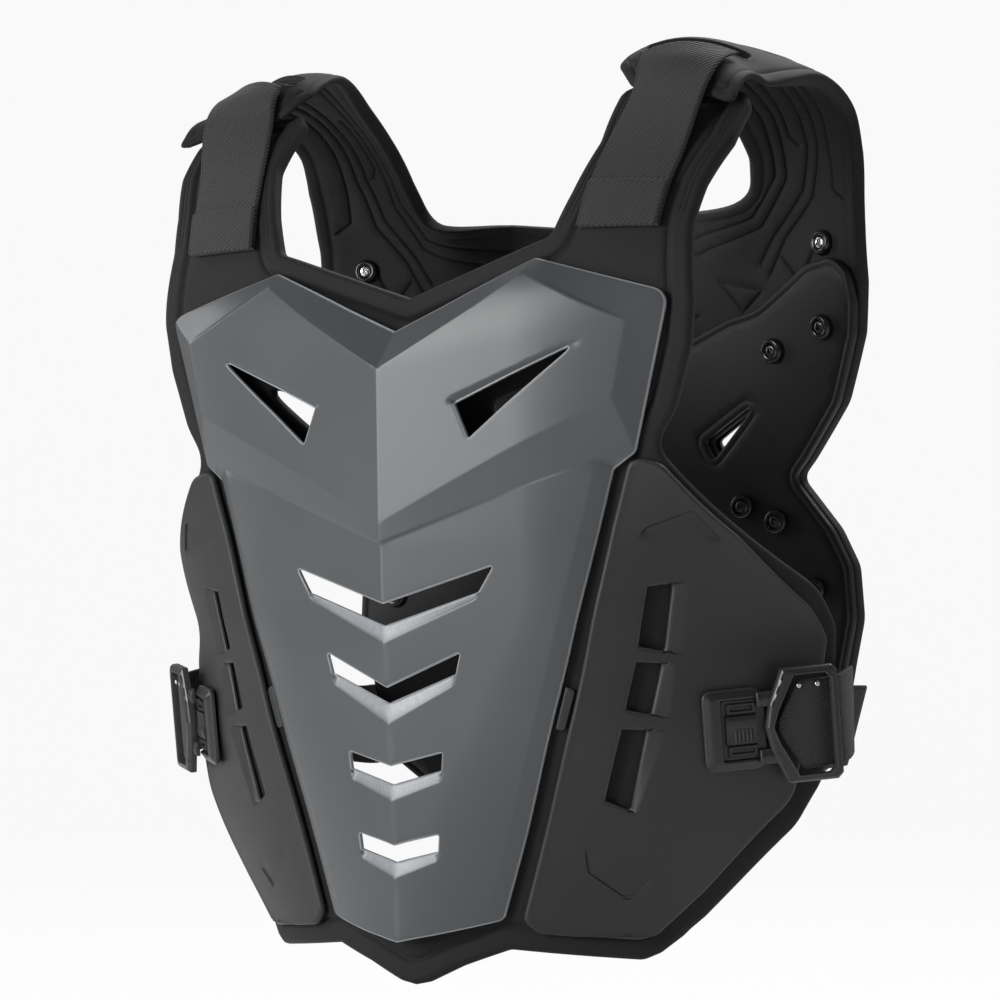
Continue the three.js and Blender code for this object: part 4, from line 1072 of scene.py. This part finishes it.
BACK_SHELL_EDGE = [
    (0.0, -0.21),
    (0.4, -0.195, 1),
    (0.62, -0.15, 1.5),
    (0.82, -0.16, 2),
    (0.85, -0.24, 1.5),
    (0.62, -0.44, 2),
    (0.58, -0.52, 2),
    (0.62, -0.6),
    (0.52, -0.8, 2),
    (0.0, -0.835),
]
# Channels moulded into the inside of the back pad, as x and height along the pad, on the left half
CHANNELS = [
    [(124, 110), (124, 60), (127, 0), (125, -46), (108, -74), (70, -88), (0, -96)],
    [(131, 110), (131, 60), (134, 0), (132, -50), (113, -82), (73, -97), (0, -105)],
    [(150, 70), (150, -30), (143, -60), (122, -88), (112, -104)],
    [(158, 70), (158, -30), (150, -65), (129, -92), (119, -110)],
    [(166, 60), (167, -60), (176, -66)],
    [(140, 30), (139, -20), (144, -28)],
    [(84, -112), (98, -132), (112, -120), (84, -112)],
    [(128, -104), (140, -118), (150, -100)],
    [(62, -108), (20, -118), (0, -122)],
    [(66, -134), (24, -142), (0, -147)],
]

FLAP_STEPS = [
    [(0.6, 0.165), (0.83, 0.13), (0.86, 0.03), (0.8, -0.01), (0.63, 0.03)],
    [(0.64, 0.135), (0.79, 0.11), (0.82, 0.045), (0.78, 0.02), (0.66, 0.045)],
]

FLAP_THINS = (0.1 * LENGTH, 0.25 * LENGTH)  # heights between which the pad thins to the flap
BACK_ROUND = 2.0
back_loop = mirrored(outline(BACK_PAD_EDGE, closed=False))
flap_slots = both_ways(outline(FLAP_SLOT))
back_vents = both_ways(outline(BACK_VENT))
channels = half_and_half(CHANNELS)
back_flat = flat_mesh(
    back_loop,
    [*back_vents, *flap_slots],
    [*channels, *half_and_half([spots([*step, step[0]]) for step in FLAP_STEPS])],
    step=4,
    rim=[*rim_rows(BACK_ROUND), 3.5, 4.6, 5.6, 6.5, 7.4, 8.6],
    line_rows=(-1.7, -0.8, 0.0, 0.8, 1.7),
)


def back_depth(height):
    return BACK_PAD + (FLAP - BACK_PAD) * ease(*FLAP_THINS, height)


def back_inner_relief(x, height, rim):
    """Channels with soft shoulders and a line inside the rim, all shallower on the thin flaps."""
    points = np.stack([x, height], 1)
    near = np.min([away(points, line, False) for line in channels], axis=0)
    share = 1 - 0.55 * ease(*FLAP_THINS, height)
    return share * (
        1.5 * channel(near, 0, 0.9) + 0.3 * channel(near, 0, 4) + 0.9 * channel(rim, 7, 1.3)
    )


def back_outer_relief(x, height):
    """A line inside the rim, a bezel round each flap's slot and stepped panels behind it."""
    points = np.stack([np.abs(x), height], 1)
    bezel = away(points, flap_slots[0])
    edge = away(points, back_loop)
    total = -0.9 * channel(edge, 6.5, 1.0) + 0.7 * channel(bezel, 1.6, 0.8)
    for step in FLAP_STEPS:
        loop = spots(step)
        total += 0.7 * np.where(inside(points, loop), ease(0, 1.2, away(points, loop)), 0)
    return total


back_pad = panel(
    "back_pad_skin",
    back_flat,
    lambda x, h, rim: back.place(x, h, back_outer_relief(x, h) - edge_drop(rim, BACK_ROUND) - 0.5),
    lambda x, h, rim: back.place(
        x, h, edge_drop(rim, BACK_ROUND) + back_inner_relief(x, h, rim) - back_depth(h)
    ),
    inward=True,
)
dress(back_pad, pad_look, "pad", "back_pad")

liner_loop = mirrored(outline(LINER_EDGE, closed=False))
liner_flat = flat_mesh(liner_loop, back_vents, step=4, rim=[*rim_rows(1.8), 3.2, 4.5, 6])
LINER_FACE = -BACK_PAD - LAYER
back_liner = panel(
    "back_liner_skin",
    liner_flat,
    lambda x, h, rim: back.place(x, h, LINER_FACE - edge_drop(rim, 0.8)),
    lambda x, h, rim: back.place(
        x, h, LINER_FACE - LINER + edge_drop(rim, 1.8) + 0.8 * channel(rim, 4.2, 1.0)
    ),
    inward=True,
)
dress(back_liner, liner_look, "liner", "back_liner")

back_shell_loop = mirrored(outline(BACK_SHELL_EDGE, closed=False))
# Raised fields, the half of each on one side of the middle
BACK_FIELDS = [
    [(0.07, -0.262), (0.42, -0.235), (0.56, -0.222), (0.6, -0.27), (0.34, -0.385), (0, -0.45)],
    [(0, -0.478), (0.42, -0.405), (0.47, -0.5), (0.42, -0.575), (0, -0.635)],
    [(0, -0.662), (0.42, -0.605), (0.45, -0.64), (0.4, -0.755), (0, -0.8)],
]
FIELD_RISE, FIELD_SLOPE = 2.2, 3.5
back_fields = [np.concatenate(both_ways(spots(field))) for field in BACK_FIELDS]
back_shell_flat = flat_mesh(
    back_shell_loop,
    back_vents,
    [np.array([middle(-0.21), middle(-0.85)]), *map(looped, back_fields)],
    step=4,
    rim=[*rim_rows(1.2), 3, 5, 7.5],
    line_rows=(-3.5, -1.7, 0.0, 1.7, 3.5),
)


def back_shell_rise(x, height):
    return 1.5 * LAYER + 0.3 * RIDGE * np.maximum(1 - np.abs(x) / (0.45 * HALF), 0)


def back_shell_relief(x, height):
    """Three raised fields with sloped borders, over a border that slopes along the whole plate."""
    points = np.stack([np.abs(x), height], 1)
    total = -1.2 * (1 - ease(0, 7, away(points, back_shell_loop)))
    for loop in back_fields:
        depth = np.where(inside(points, loop), away(points, loop), 0)
        total += FIELD_RISE * np.clip(depth / FIELD_SLOPE, 0, 1)
    return total


back_rise = softened(back_shell_rise, 2.0)
back_shell = panel(
    "back_shell_skin",
    back_shell_flat,
    lambda x, h, rim: back.place(
        x, h, back_rise(x, h) + back_shell_relief(x, h) + BACK_SHELL - edge_drop(rim, 1.2)
    ),
    lambda x, h, rim: back.place(x, h, back_rise(x, h) + edge_drop(rim, 0.6)),
    inward=True,
)
dress(back_shell, back_look, "shell", "back_shell")


# Screws and washers


def seat(face, x, height, lift, inward=False):
    """Matrix of a spot on a surface: Z along its normal, Y up the surface."""
    out = Vector(face.normal(np.array([x]), np.array([height]))[0]) * (-1 if inward else 1)
    above = face.place([x], [height + 1])[0]
    below = face.place([x], [height - 1])[0]
    across = Vector(above - below).normalized().cross(out).normalized()
    upright = out.cross(across)
    at = Vector(face.place([x], [height], -lift if inward else lift)[0])
    made = Matrix((across, upright, out)).transposed().to_4x4()
    made.translation = at * MM
    return made


def ringed(rings, low, high):
    """A body from rings of (radius, height) round Z, closed by a point at a low and a high place."""
    turns = len(rings[0])
    angles = [2 * math.pi * i / turns for i in range(turns)]
    points = [
        (radius * math.cos(a), radius * math.sin(a), height)
        for ring in rings
        for (radius, height), a in zip(ring, angles)
    ]
    faces = []
    for row in range(len(rings) - 1):
        for i in range(turns):
            j = (i + 1) % turns
            faces.append((row * turns + i, row * turns + j, (row + 1) * turns + j, (row + 1) * turns + i))
    points += [(0, 0, low), (0, 0, high)]
    last = (len(rings) - 1) * turns
    for i in range(turns):
        j = (i + 1) % turns
        faces.append((j, i, len(points) - 2))
        faces.append((last + i, last + j, len(points) - 1))
    return points, faces


def turned(profile, turns):
    """A body turned round Z from rows of (radius, height)."""
    return ringed([[row] * turns for row in profile], profile[0][1], profile[-1][1])


DISH = 0.35 * WASHER[1]


def washer_profile():
    r, t = WASHER
    hole = SCREW[0] + 0.4
    foot, dome = 0.25, 2.1
    rows = [(r - 0.3, 0), (r, foot)]
    for a in np.linspace(0.2, 1.45, 6):
        rows.append((r - dome * (1 - math.cos(a)), foot + (t - foot) * math.sin(a)))
    return [*rows, (hole + 0.9, t), (hole + 0.3, t - 0.25), (hole, t - 0.8), (hole, DISH)]


def phillips(radius, height, turns=32):
    """A pan head with a cross recess, built as rings round Z whose inner ones follow the cross."""
    arm, half = 0.62 * radius, 0.17 * radius

    def cross_reach(angle):
        c, s = abs(math.cos(angle)), abs(math.sin(angle))
        reaches = []
        for u, v in ((c, s), (s, c)):
            limit = arm / max(u, 1e-6)
            if v > 1e-6:
                limit = min(limit, half / v)
            reaches.append(limit)
        return max(reaches)

    rings = [[(radius, 0)] * turns]
    for share, up in ((1, 0.35), (0.97, 0.6), (0.86, 0.85), (0.7, 1.0)):
        rings.append([(radius * share, height * up)] * turns)
    reaches = [cross_reach(2 * math.pi * i / turns) for i in range(turns)]
    rings.append([(reach, height * 1.04) for reach in reaches])
    rings.append([(0.8 * reach, height * 0.35) for reach in reaches])
    return ringed(rings, 0, height * 0.3)


INSIDE = 9.0  # rim mark of a mesh whose edges get no painted edge highlight


def placed(name, made, matrix, look, slot, node):
    points, faces = made
    piece = finish_mesh(name, points, faces, marks={"rim": np.full(len(points), INSIDE)}, sharp=35)
    piece.matrix_world = matrix
    dress(piece, look, slot, node)


WASHERS = [(0.794, -0.286), (0.613, -0.312), (0.485, -0.492), (0.598, -0.51), (0.72, -0.59)]
TOP_SCREW = (0.79, -0.194)
washer_body = turned(washer_profile(), 40)
screw_body = phillips(*SCREW)
lifted = Matrix.Translation((0, 0, (DISH + 0.3) * MM))
for side, sign in SIDES:
    places = [("top", TOP_SCREW, back_depth(TOP_SCREW[1] * LENGTH) + SEAT)]
    places += [(str(i + 1), at, LINER - LINER_FACE + SEAT) for i, at in enumerate(WASHERS)]
    for label, (x, height), lift in places:
        matrix = seat(back, sign * x * HALF, height * LENGTH, lift, inward=True)
        end = label + "_" + side
        placed("washer_" + end + "_turned", washer_body, matrix, washer_look, "washer", "washer_" + end)
        look = screw_look if label == "top" else black_screw_look
        spun = matrix @ Matrix.Rotation(0.7 * (len(label) + sign) + x * 9, 4, "Z") @ lifted
        placed("screw_" + end + "_turned", screw_body, spun, look, "screw", "screw_" + end)

# Shoulder webbing


def ribbon(edges, thickness, columns, fold=0):
    """A woven band through its low edge, middle and high edge lines; its first end may be folded double."""
    low, line, high = edges
    count = len(line)
    lengths = np.concatenate([[0], np.cumsum(np.linalg.norm(np.diff(line, axis=0), axis=1))])
    along = np.gradient(line, axis=0)
    out = np.cross(high - low, along)
    out /= np.linalg.norm(out, axis=1, keepdims=True)
    shares = np.sin(np.linspace(-1, 1, columns) * math.pi / 2)
    doubled = 1 - ease(fold, fold + 1.2, lengths) if fold else np.zeros(count)
    points, uv, edge_share = [], [], []
    area = 0.0
    for side in (1, -1):
        for i in range(count):
            half = np.linalg.norm(high[i] - low[i]) / 2
            grown = thickness * (0.5 + (0.9 * doubled[i] if side > 0 else 0))
            end = min(lengths[i], lengths[-1] - lengths[i])
            for share in shares:
                to_low, to_high = share * (share - 1) / 2, share * (share + 1) / 2
                bow = (1 - share**2) * line[i] + to_low * low[i] + to_high * high[i]
                edge = min((1 - abs(share)) * half, end + 0.15)
                round_ = edge_drop(np.array([edge]), 0.8 * thickness)[0] * 0.55
                points.append(bow + out[i] * (side * max(grown - round_, 0.12)))
                uv.append((share * half, lengths[i]))
                edge_share.append(abs(share))
            if side > 0 and i:
                area += 2 * half * (lengths[i] - lengths[i - 1])
    faces = []
    layer = count * columns
    for i in range(count - 1):
        for j in range(columns - 1):
            a = i * columns + j
            faces.append((a, a + columns, a + columns + 1, a + 1))
            b = a + layer
            faces.append((b, b + 1, b + columns + 1, b + columns))
    for i in range(count - 1):
        for j, flip in ((0, False), (columns - 1, True)):
            a = i * columns + j
            quad = (a, a + layer, a + layer + columns, a + columns)
            faces.append(quad[::-1] if flip else quad)
    for j in range(columns - 1):
        for i, flip in ((0, True), (count - 1, False)):
            a = i * columns + j
            quad = (a, a + layer, a + layer + 1, a + 1)
            faces.append(quad[::-1] if flip else quad)
    width = max(np.linalg.norm(high - low, axis=1))
    return points, faces, uv, edge_share, (width, lengths[-1], area)


def catmull(points, samples):
    """Points along a centripetal Catmull-Rom curve."""
    points = np.asarray(points, float)
    ends = [2 * points[0] - points[1], *points, 2 * points[-1] - points[-2]]
    made = []
    for t in np.linspace(0, len(points) - 1, samples):
        i = min(int(t), len(points) - 2)
        u = t - i
        p0, p1, p2, p3 = ends[i : i + 4]
        g0, g1, g2 = (max(np.linalg.norm(b - a) ** 0.5, 1e-4) for a, b in ((p0, p1), (p1, p2), (p2, p3)))
        m1 = ((p1 - p0) / g0 - (p2 - p0) / (g0 + g1) + (p2 - p1) / g1) * g1
        m2 = ((p2 - p1) / g1 - (p3 - p1) / (g1 + g2) + (p3 - p2) / g2) * g1
        made.append(
            (2 * u**3 - 3 * u**2 + 1) * p1
            + (u**3 - 2 * u**2 + u) * m1
            + (3 * u**2 - 2 * u**3) * p2
            + (u**3 - u**2) * m2
        )
    return np.array(made)


def woven_band(name, made, look, node, **sheet):
    points, faces, uv, share, (width, length, area) = made
    marks = {"rim": np.full(len(points), INSIDE), "share": share}
    piece = finish_mesh(name, points, faces, uv, marks, sharp=60)
    dress(piece, look, "webbing", node)


# Rows of (face, x share, height share, turn of the band)
WEBBING_SPOTS = [
    (chest, 0.64, -0.21, 0),
    (chest, 0.655, -0.16, 0),
    (chest, 0.67, -0.12, 0),
    (back, 0.708, 0.31, 0),
    (back, 0.712, 0.28, 0.012),
    (back, 0.712, 0.25, 0.032),
]
WEBBING_LIFT = 2.2
FOLD = 26  # length of the webbing's doubled lower end
for side, sign in SIDES:
    edges = []
    for way in (-1, 0, 1):
        row = [
            face.place(
                [sign * x * HALF + way * WEBBING[0] / 2],
                [(h - sign * way * turn / 2) * LENGTH],
                (SEAT if face is chest else WEBBING_LIFT) + WEBBING[1] / 2,
            )[0]
            for face, x, h, turn in WEBBING_SPOTS
        ]
        edges.append(catmull(row, 90))
    woven_band(
        "webbing_" + side,
        ribbon(edges, WEBBING[1], columns=18, fold=FOLD),
        webbing_look,
        "shoulder_webbing_" + side,
        held="laid",
        rests_on=["chest_pad", "back_pad_skin"],
    )

# Side buckles: base, latch, ring with its hinge arms, strap and rivets, in the base's own frame

BUCKLE_SPOT = (0.833, -0.747)
RING_REACH = 0.9 * RING[0]
RECESS = (0.74 * BUCKLE[0], 0.74 * BUCKLE[1], 0.35 * BUCKLE[2])
RING_BAR = 4
GAP = 0.3
ARM_PITCH = 0.25 * RING[1]
STRAP_FACE = BUCKLE[2] + GAP + 0.45 * RING[2]
UNDER_BAR = BUCKLE[2] - STRAP[1] / 2
BAR_INSIDE = RING[0] / 2 - RING_BAR
PAD_EDGE, EDGE_LEAN = 0.776, 0.28
STRAP_TURNS = (0.45, 0.8)  # shares of its length between which the strap turns upright
STRAP_SAMPLES = 110


def shaped(points, round_):
    """An outline in millimetres with rounded corners."""
    return outline([(x / HALF, y / LENGTH, round_ / CORNER) for x, y in points])


def rectangle(left, right, low, high):
    return [(left, low), (right, low), (right, high), (left, high)]


def within_box(points, left, right, low, high, wall=0.25):
    """1 inside a rectangle, falling to 0 across its wall."""
    x, y = points.T
    depth = np.minimum(np.minimum(x - left, right - x), np.minimum(y - low, high - y))
    return ease(-wall, wall, depth)


def moulding(name, loop, top, matrix, look, node, holes=(), lines=(), step=1.3, round_=0.5):
    """A small moulded piece, flat on the bottom in its own frame, with a relief on its top."""
    rim = [*rim_rows(round_), 1.6 * round_]
    flat = flat_mesh(loop, holes, lines, step=step, rim=rim, line_rows=(-0.3, 0.3), thin=0.2)
    piece = panel(
        name,
        flat,
        lambda x, y, rim: np.stack([x, y, top(np.stack([x, y], 1)) - edge_drop(rim, round_)], -1),
        lambda x, y, rim: np.stack([x, y, np.zeros_like(x)], -1),
        sharp=38,
    )
    piece.matrix_world = matrix
    dress(piece, look, "buckle", node)


POCKET = (0.16 * BUCKLE[0] - RECESS[0] / 2, BUCKLE[0], -RECESS[1] / 2, RECESS[1] / 2)
base_loop = shaped(rectangle(-BUCKLE[0] / 2, BUCKLE[0] / 2, -BUCKLE[1] / 2, BUCKLE[1] / 2), 6)
base_line = np.array(
    [(BUCKLE[0], POCKET[2]), (POCKET[0], POCKET[2]), (POCKET[0], POCKET[3]), (BUCKLE[0], POCKET[3])]
)
LEDGE_FALL, LEDGE_WIDTH = 2.2, 4.5


def base_top(points):
    """A sloped ledge round a recess that is open on its outer side, with a fine lip round the recess."""
    sunk = within_box(points, *POCKET)
    edge = away(points, base_loop)
    ledge = BUCKLE[2] - LEDGE_FALL * (1 - ease(0, LEDGE_WIDTH, edge))
    lip = 0.45 * channel(away(points, base_line, False), 0.9, 0.45) * (1 - sunk)
    return RECESS[2] * sunk + (ledge + lip) * (1 - sunk)


LATCH = (RECESS[0] - 2 * GAP, RECESS[1] - 2 * GAP)
latch_loop = shaped(rectangle(-LATCH[0] / 2, LATCH[0] / 2, -LATCH[1] / 2, LATCH[1] / 2), 1.5)
# Boxes on the latch, as left, right, low and high in millimetres
CENTRE = (-10.4, 6.8, -7.8, 7.8)
LOOPS = [(-9.4, 6.4, 8.6, 14.2), (-9.4, 6.4, -14.2, -8.6)]
HOLLOWS = [(-7.4, 4.6, 10.3, 12.5), (-7.4, 4.6, -12.5, -10.3)]
RIBS = [(-5.5 + 2.1 * i, -4.4 + 2.1 * i, -6.6, 0.6) for i in range(5)]
LATCH_FLOOR, LOOP_RISE, GRIP_HEIGHT, GRIP_CROWN = 0.9, 2.0, 3.1, 0.5
latch_lines = [looped(rectangle(*box)) for box in (CENTRE, *LOOPS, *HOLLOWS, *RIBS)]


def latch_top(points):
    """A crowned grip with fine ribs between two open loops."""
    height = np.full(len(points), LATCH_FLOOR)
    grip = within_box(points, *CENTRE)
    crown = GRIP_HEIGHT + GRIP_CROWN * ease(-1.5, 2.5, points[:, 1]) * (1 - ease(5, 8, points[:, 1]))
    for rib in RIBS:
        crown = crown + 0.5 * within_box(points, *rib, wall=0.2)
    for loop, hollow in zip(LOOPS, HOLLOWS):
        bar = within_box(points, *loop) * (1 - within_box(points, *hollow))
        height = np.maximum(height, LATCH_FLOOR + LOOP_RISE * bar)
    return height * (1 - grip) + crown * grip


def ring_outline(inset):
    side, top = RING[0] / 2 - inset, RING[1] / 2 - inset
    cut = 0.15 * RING[0]
    nose = 0.17 * RING[0] + 0.35 * inset
    return [
        (-side, 0),
        (-side + 0.35 * nose, -top + 3 * cut),
        (-side + 1.5 * nose, -top),
        (side - cut / 2, -top),
        (side, -top + cut / 2),
        (side, top - cut / 2),
        (side - cut / 2, top),
        (-side + 1.5 * nose, top),
        (-side + 0.35 * nose, top - 3 * cut),
    ]


ring_loop, ring_hole = shaped(ring_outline(0), 1.6), shaped(ring_outline(RING_BAR), 0.9)


RING_FALL, RING_SLOPE = 1.7, 1.5


def ring_top(points):
    """A bar with a sloped outer side, a flat face and a fine raised inner edge."""
    outer, inner = away(points, ring_loop), away(points, ring_hole)
    slope = RING_FALL * (1 - np.clip(outer / RING_SLOPE, 0, 1))
    return RING[2] - slope + 0.3 * channel(inner, 0.4, 0.4)


ARM_LEFT, ARM_RIGHT, ARM_HALF, ARM_HEIGHT = -7.4, 6.2, 4, 2.6
arm_loop = shaped(rectangle(ARM_LEFT, ARM_RIGHT, -ARM_HALF, ARM_HALF), 0.9)


def arm_top(points):
    """A crowned arm with a groove across it."""
    crown = 0.4 * np.cos(points[:, 1] / ARM_HALF * math.pi)
    return ARM_HEIGHT + crown - 0.5 * channel(points[:, 0], -4.2, 0.7)


def fold_half(across):
    """Half height of the strap's folded end, which fills the ring's pointed opening."""
    rows = [(x, abs(y)) for x, y in ring_outline(RING_BAR + STRAP[1])[:3]]
    x, y = zip(*rows)
    return np.minimum(STRAP[0] / 2, np.where(across >= x[2], STRAP[0] / 2, np.interp(across, x, y)))


def strap_edges(sign, matrix):
    """The strap's two edges and middle line: in the ring, under its outer bar and back to the back pad."""
    to_local = matrix.inverted()

    def at(across, lift):
        return np.array(matrix @ (Vector((RING_REACH + across, 0, lift)) * MM)) / MM

    height = BUCKLE_SPOT[1] * LENGTH

    def on_back(x, lift):
        return back.place([sign * x * HALF], [height], LAYER + (0.5 + lift) * STRAP[1])[0]

    edge = PAD_EDGE * HALF + 2 * STRAP[1]

    def beside(lift):
        return back.place([sign * edge], [height], lift * BACK_PAD)[0]

    outer_bar = BAR_INSIDE + 0.5 * RING_BAR
    middle_points = [
        at(-0.8 * BAR_INSIDE, STRAP_FACE),
        at(-0.3 * BAR_INSIDE, STRAP_FACE),
        at(0.4 * BAR_INSIDE, STRAP_FACE),
        at(0.85 * BAR_INSIDE, UNDER_BAR + 0.5 * STRAP[1]),
        at(outer_bar, UNDER_BAR - 0.5 * STRAP[1]),
        at(outer_bar + 1.3 * RING_BAR, UNDER_BAR - 2 * STRAP[1]),
        at(outer_bar + 4.7 * RING_BAR, UNDER_BAR - 17 * STRAP[1]),
        beside(-4),
        beside(-1),
        on_back(PAD_EDGE + 0.015, 0.7),
        on_back(PAD_EDGE - 0.07, 0.3),
        on_back(PAD_EDGE - 0.21, 0),
    ]
    line = catmull(middle_points, STRAP_SAMPLES)
    ring_up = np.array(matrix.to_3x3() @ Vector((0, sign, 0)))
    back_up = np.array([sign * EDGE_LEAN, 0, 1]) / math.hypot(EDGE_LEAN, 1)
    low, high = [], []
    for i, point in enumerate(line):
        across = (to_local @ Vector(point * MM)).x / MM - RING_REACH
        upright = float(ease(*STRAP_TURNS, i / (STRAP_SAMPLES - 1)))
        half = ring_up * (1 - upright) + back_up * upright
        half *= float(fold_half(across)) / np.linalg.norm(half)
        low.append(point - half)
        high.append(point + half)
    return [np.array(low), line, np.array(high)]


RIVETS = [(-0.03, 0.34), (0.22, 0.34)]  # shares of the ring's width and height
RIVET_PROFILE = [(RIVET, 0), (RIVET, 0.2), (1.3, 0.55), (1.0, 0.8), (0.55, 0.95), (0.45, 0.7), (0.2, 0.7)]
rivet_body = turned(RIVET_PROFILE, 24)
for side, sign in SIDES:
    lift = LAYER + PLATE + LAYER
    frame_at = seat(chest, sign * BUCKLE_SPOT[0] * HALF, BUCKLE_SPOT[1] * LENGTH, lift)
    if sign < 0:
        frame_at = frame_at @ Matrix.Rotation(math.pi, 4, "Z")

    def moved(x, y, z):
        return frame_at @ Matrix.Translation(Vector((x, y, z)) * MM)

    latch_at = moved(0.16 * BUCKLE[0], 0, RECESS[2] + GAP)
    ring_at = moved(RING_REACH, 0, BUCKLE[2] + GAP)
    base, latch, ring = ("buckle_" + part + "_" + side for part in ("base", "latch", "ring"))
    moulding(
        base + "_moulded", base_loop, base_top, frame_at, buckle_look, base, lines=[base_line], round_=0.7
    )
    moulding(
        latch + "_moulded", latch_loop, latch_top, latch_at, buckle_look, latch,
        lines=latch_lines, step=1.0, round_=0.3,
    )
    moulding(ring + "_moulded", ring_loop, ring_top, ring_at, ring_look, ring, holes=[ring_hole], step=1.0)
    for number, way in (("1", 1), ("2", -1)):
        hinge = Vector((-RING[0] / 2 + 0.1 * RING[0] - 0.7, way * ARM_PITCH, 0)) * MM
        moulding(
            "hinge_arm_" + number + "_" + side, arm_loop, arm_top, ring_at @ Matrix.Translation(hinge),
            buckle_look, ring, step=1.2, round_=0.8,
        )
    woven_band(
        "side_strap_" + side + "_woven",
        ribbon(strap_edges(sign, frame_at), STRAP[1], columns=20),
        elastic_look,
        "side_strap_" + side,
        held="stretched",
        rests_on=[ring + "_moulded", "back_pad_skin"],
    )
    for i, (x, y) in enumerate(RIVETS):
        matrix = moved(RING_REACH + x * RING[0], sign * y * RING[1], STRAP_FACE + STRAP[1] / 2 + GAP)
        end = str(i + 1) + "_" + side
        placed("rivet_" + end, rivet_body, matrix, screw_look, "screw", "strap_rivet_" + end)

# Floor and light

FLOOR = -0.62
NEAR, FAR, WIDE, TALL = -4.0, 6.0, 8, 7
BEND = 1.6
PAPER_GLOW = 0.93
WORLD_STRENGTH = 0.17
WHITE = (1, 1, 1, 1)
# Rows of (name, azimuth, elevation, distance, width and height, watts)
LIGHTS = [
    ("key", -22, 12, 2.6, (0.9, 1.3), 46),
    ("left", -80, 20, 2.8, (0.6, 1.8), 16),
    ("right", 100, 12, 3.0, (0.3, 1.6), 5),
    ("above", 175, 55, 2.4, (1.6, 0.8), 42),
]


def camera_switch(tree, plain, bright, share, output):
    """Joins two shaders by a share that is above nothing for camera rays alone."""
    both = tree.nodes.new("ShaderNodeMixShader")
    tree.links.new(share, both.inputs[0])
    tree.links.new(plain.outputs[0], both.inputs[1])
    tree.links.new(bright.outputs[0], both.inputs[2])
    tree.links.new(both.outputs[0], tree.nodes[output].inputs["Surface"])


def paper_look():
    """Paper that is bright to the camera alone, so that it doesn't light the part from below."""
    paper = Shader("paper")
    paper.set(Base_Color=(0.9, 0.9, 0.9, 1), Roughness=0.9)
    glow = paper.node("Emission")
    share = paper.math("MULTIPLY", paper.node("LightPath").outputs["Is Camera Ray"], PAPER_GLOW)
    camera_switch(paper.tree, paper.surface, glow, share, "Material Output")
    return paper.material


def paper_floor():
    """A sheet of paper under the part, bent up behind it as the camera sees it."""
    profile = [(NEAR, FLOOR)]
    for a in np.linspace(0, math.pi / 2, 17):
        profile.append((FAR - BEND + BEND * math.sin(a), FLOOR + BEND * (1 - math.cos(a))))
    profile.append((FAR, FLOOR + TALL))
    turn = Matrix.Rotation(AZIMUTH, 3, "Z")
    points = [tuple(turn @ Vector((x, y, z))) for y, z in profile for x in (-WIDE, WIDE)]
    faces = [(2 * i, 2 * i + 1, 2 * i + 3, 2 * i + 2) for i in range(len(profile) - 1)]
    mesh = bpy.data.meshes.new("floor")
    mesh.from_pydata(points, [], faces)
    mesh.shade_smooth()
    mesh.materials.append(paper_look())
    made = bpy.data.objects.new("floor", mesh)
    bpy.context.scene.collection.objects.link(made)
    return made


def studio_world():
    world = bpy.data.worlds.new("studio")
    bpy.context.scene.world = world
    world.use_nodes = True
    tree = world.node_tree
    soft = tree.nodes["Background"]
    soft.inputs["Strength"].default_value = WORLD_STRENGTH
    white = tree.nodes.new("ShaderNodeBackground")
    for background in (soft, white):
        background.inputs["Color"].default_value = WHITE
    seen = tree.nodes.new("ShaderNodeLightPath").outputs["Is Camera Ray"]
    camera_switch(tree, soft, white, seen, "World Output")


def light(name, azimuth, elevation, distance, size, power):
    lamp = bpy.data.lights.new(name, "AREA")
    lamp.shape = "RECTANGLE"
    lamp.size, lamp.size_y = size
    lamp.energy = power
    made = bpy.data.objects.new(name, lamp)
    bpy.context.scene.collection.objects.link(made)
    way = direction(math.radians(azimuth), math.radians(elevation))
    made.location = TARGET + way * distance
    made.rotation_euler = (-way).to_track_quat("-Z", "Y").to_euler()


floor = paper_floor()
studio_world()
bpy.context.scene.view_settings.view_transform = "Standard"
for row in LIGHTS:
    light(*row)
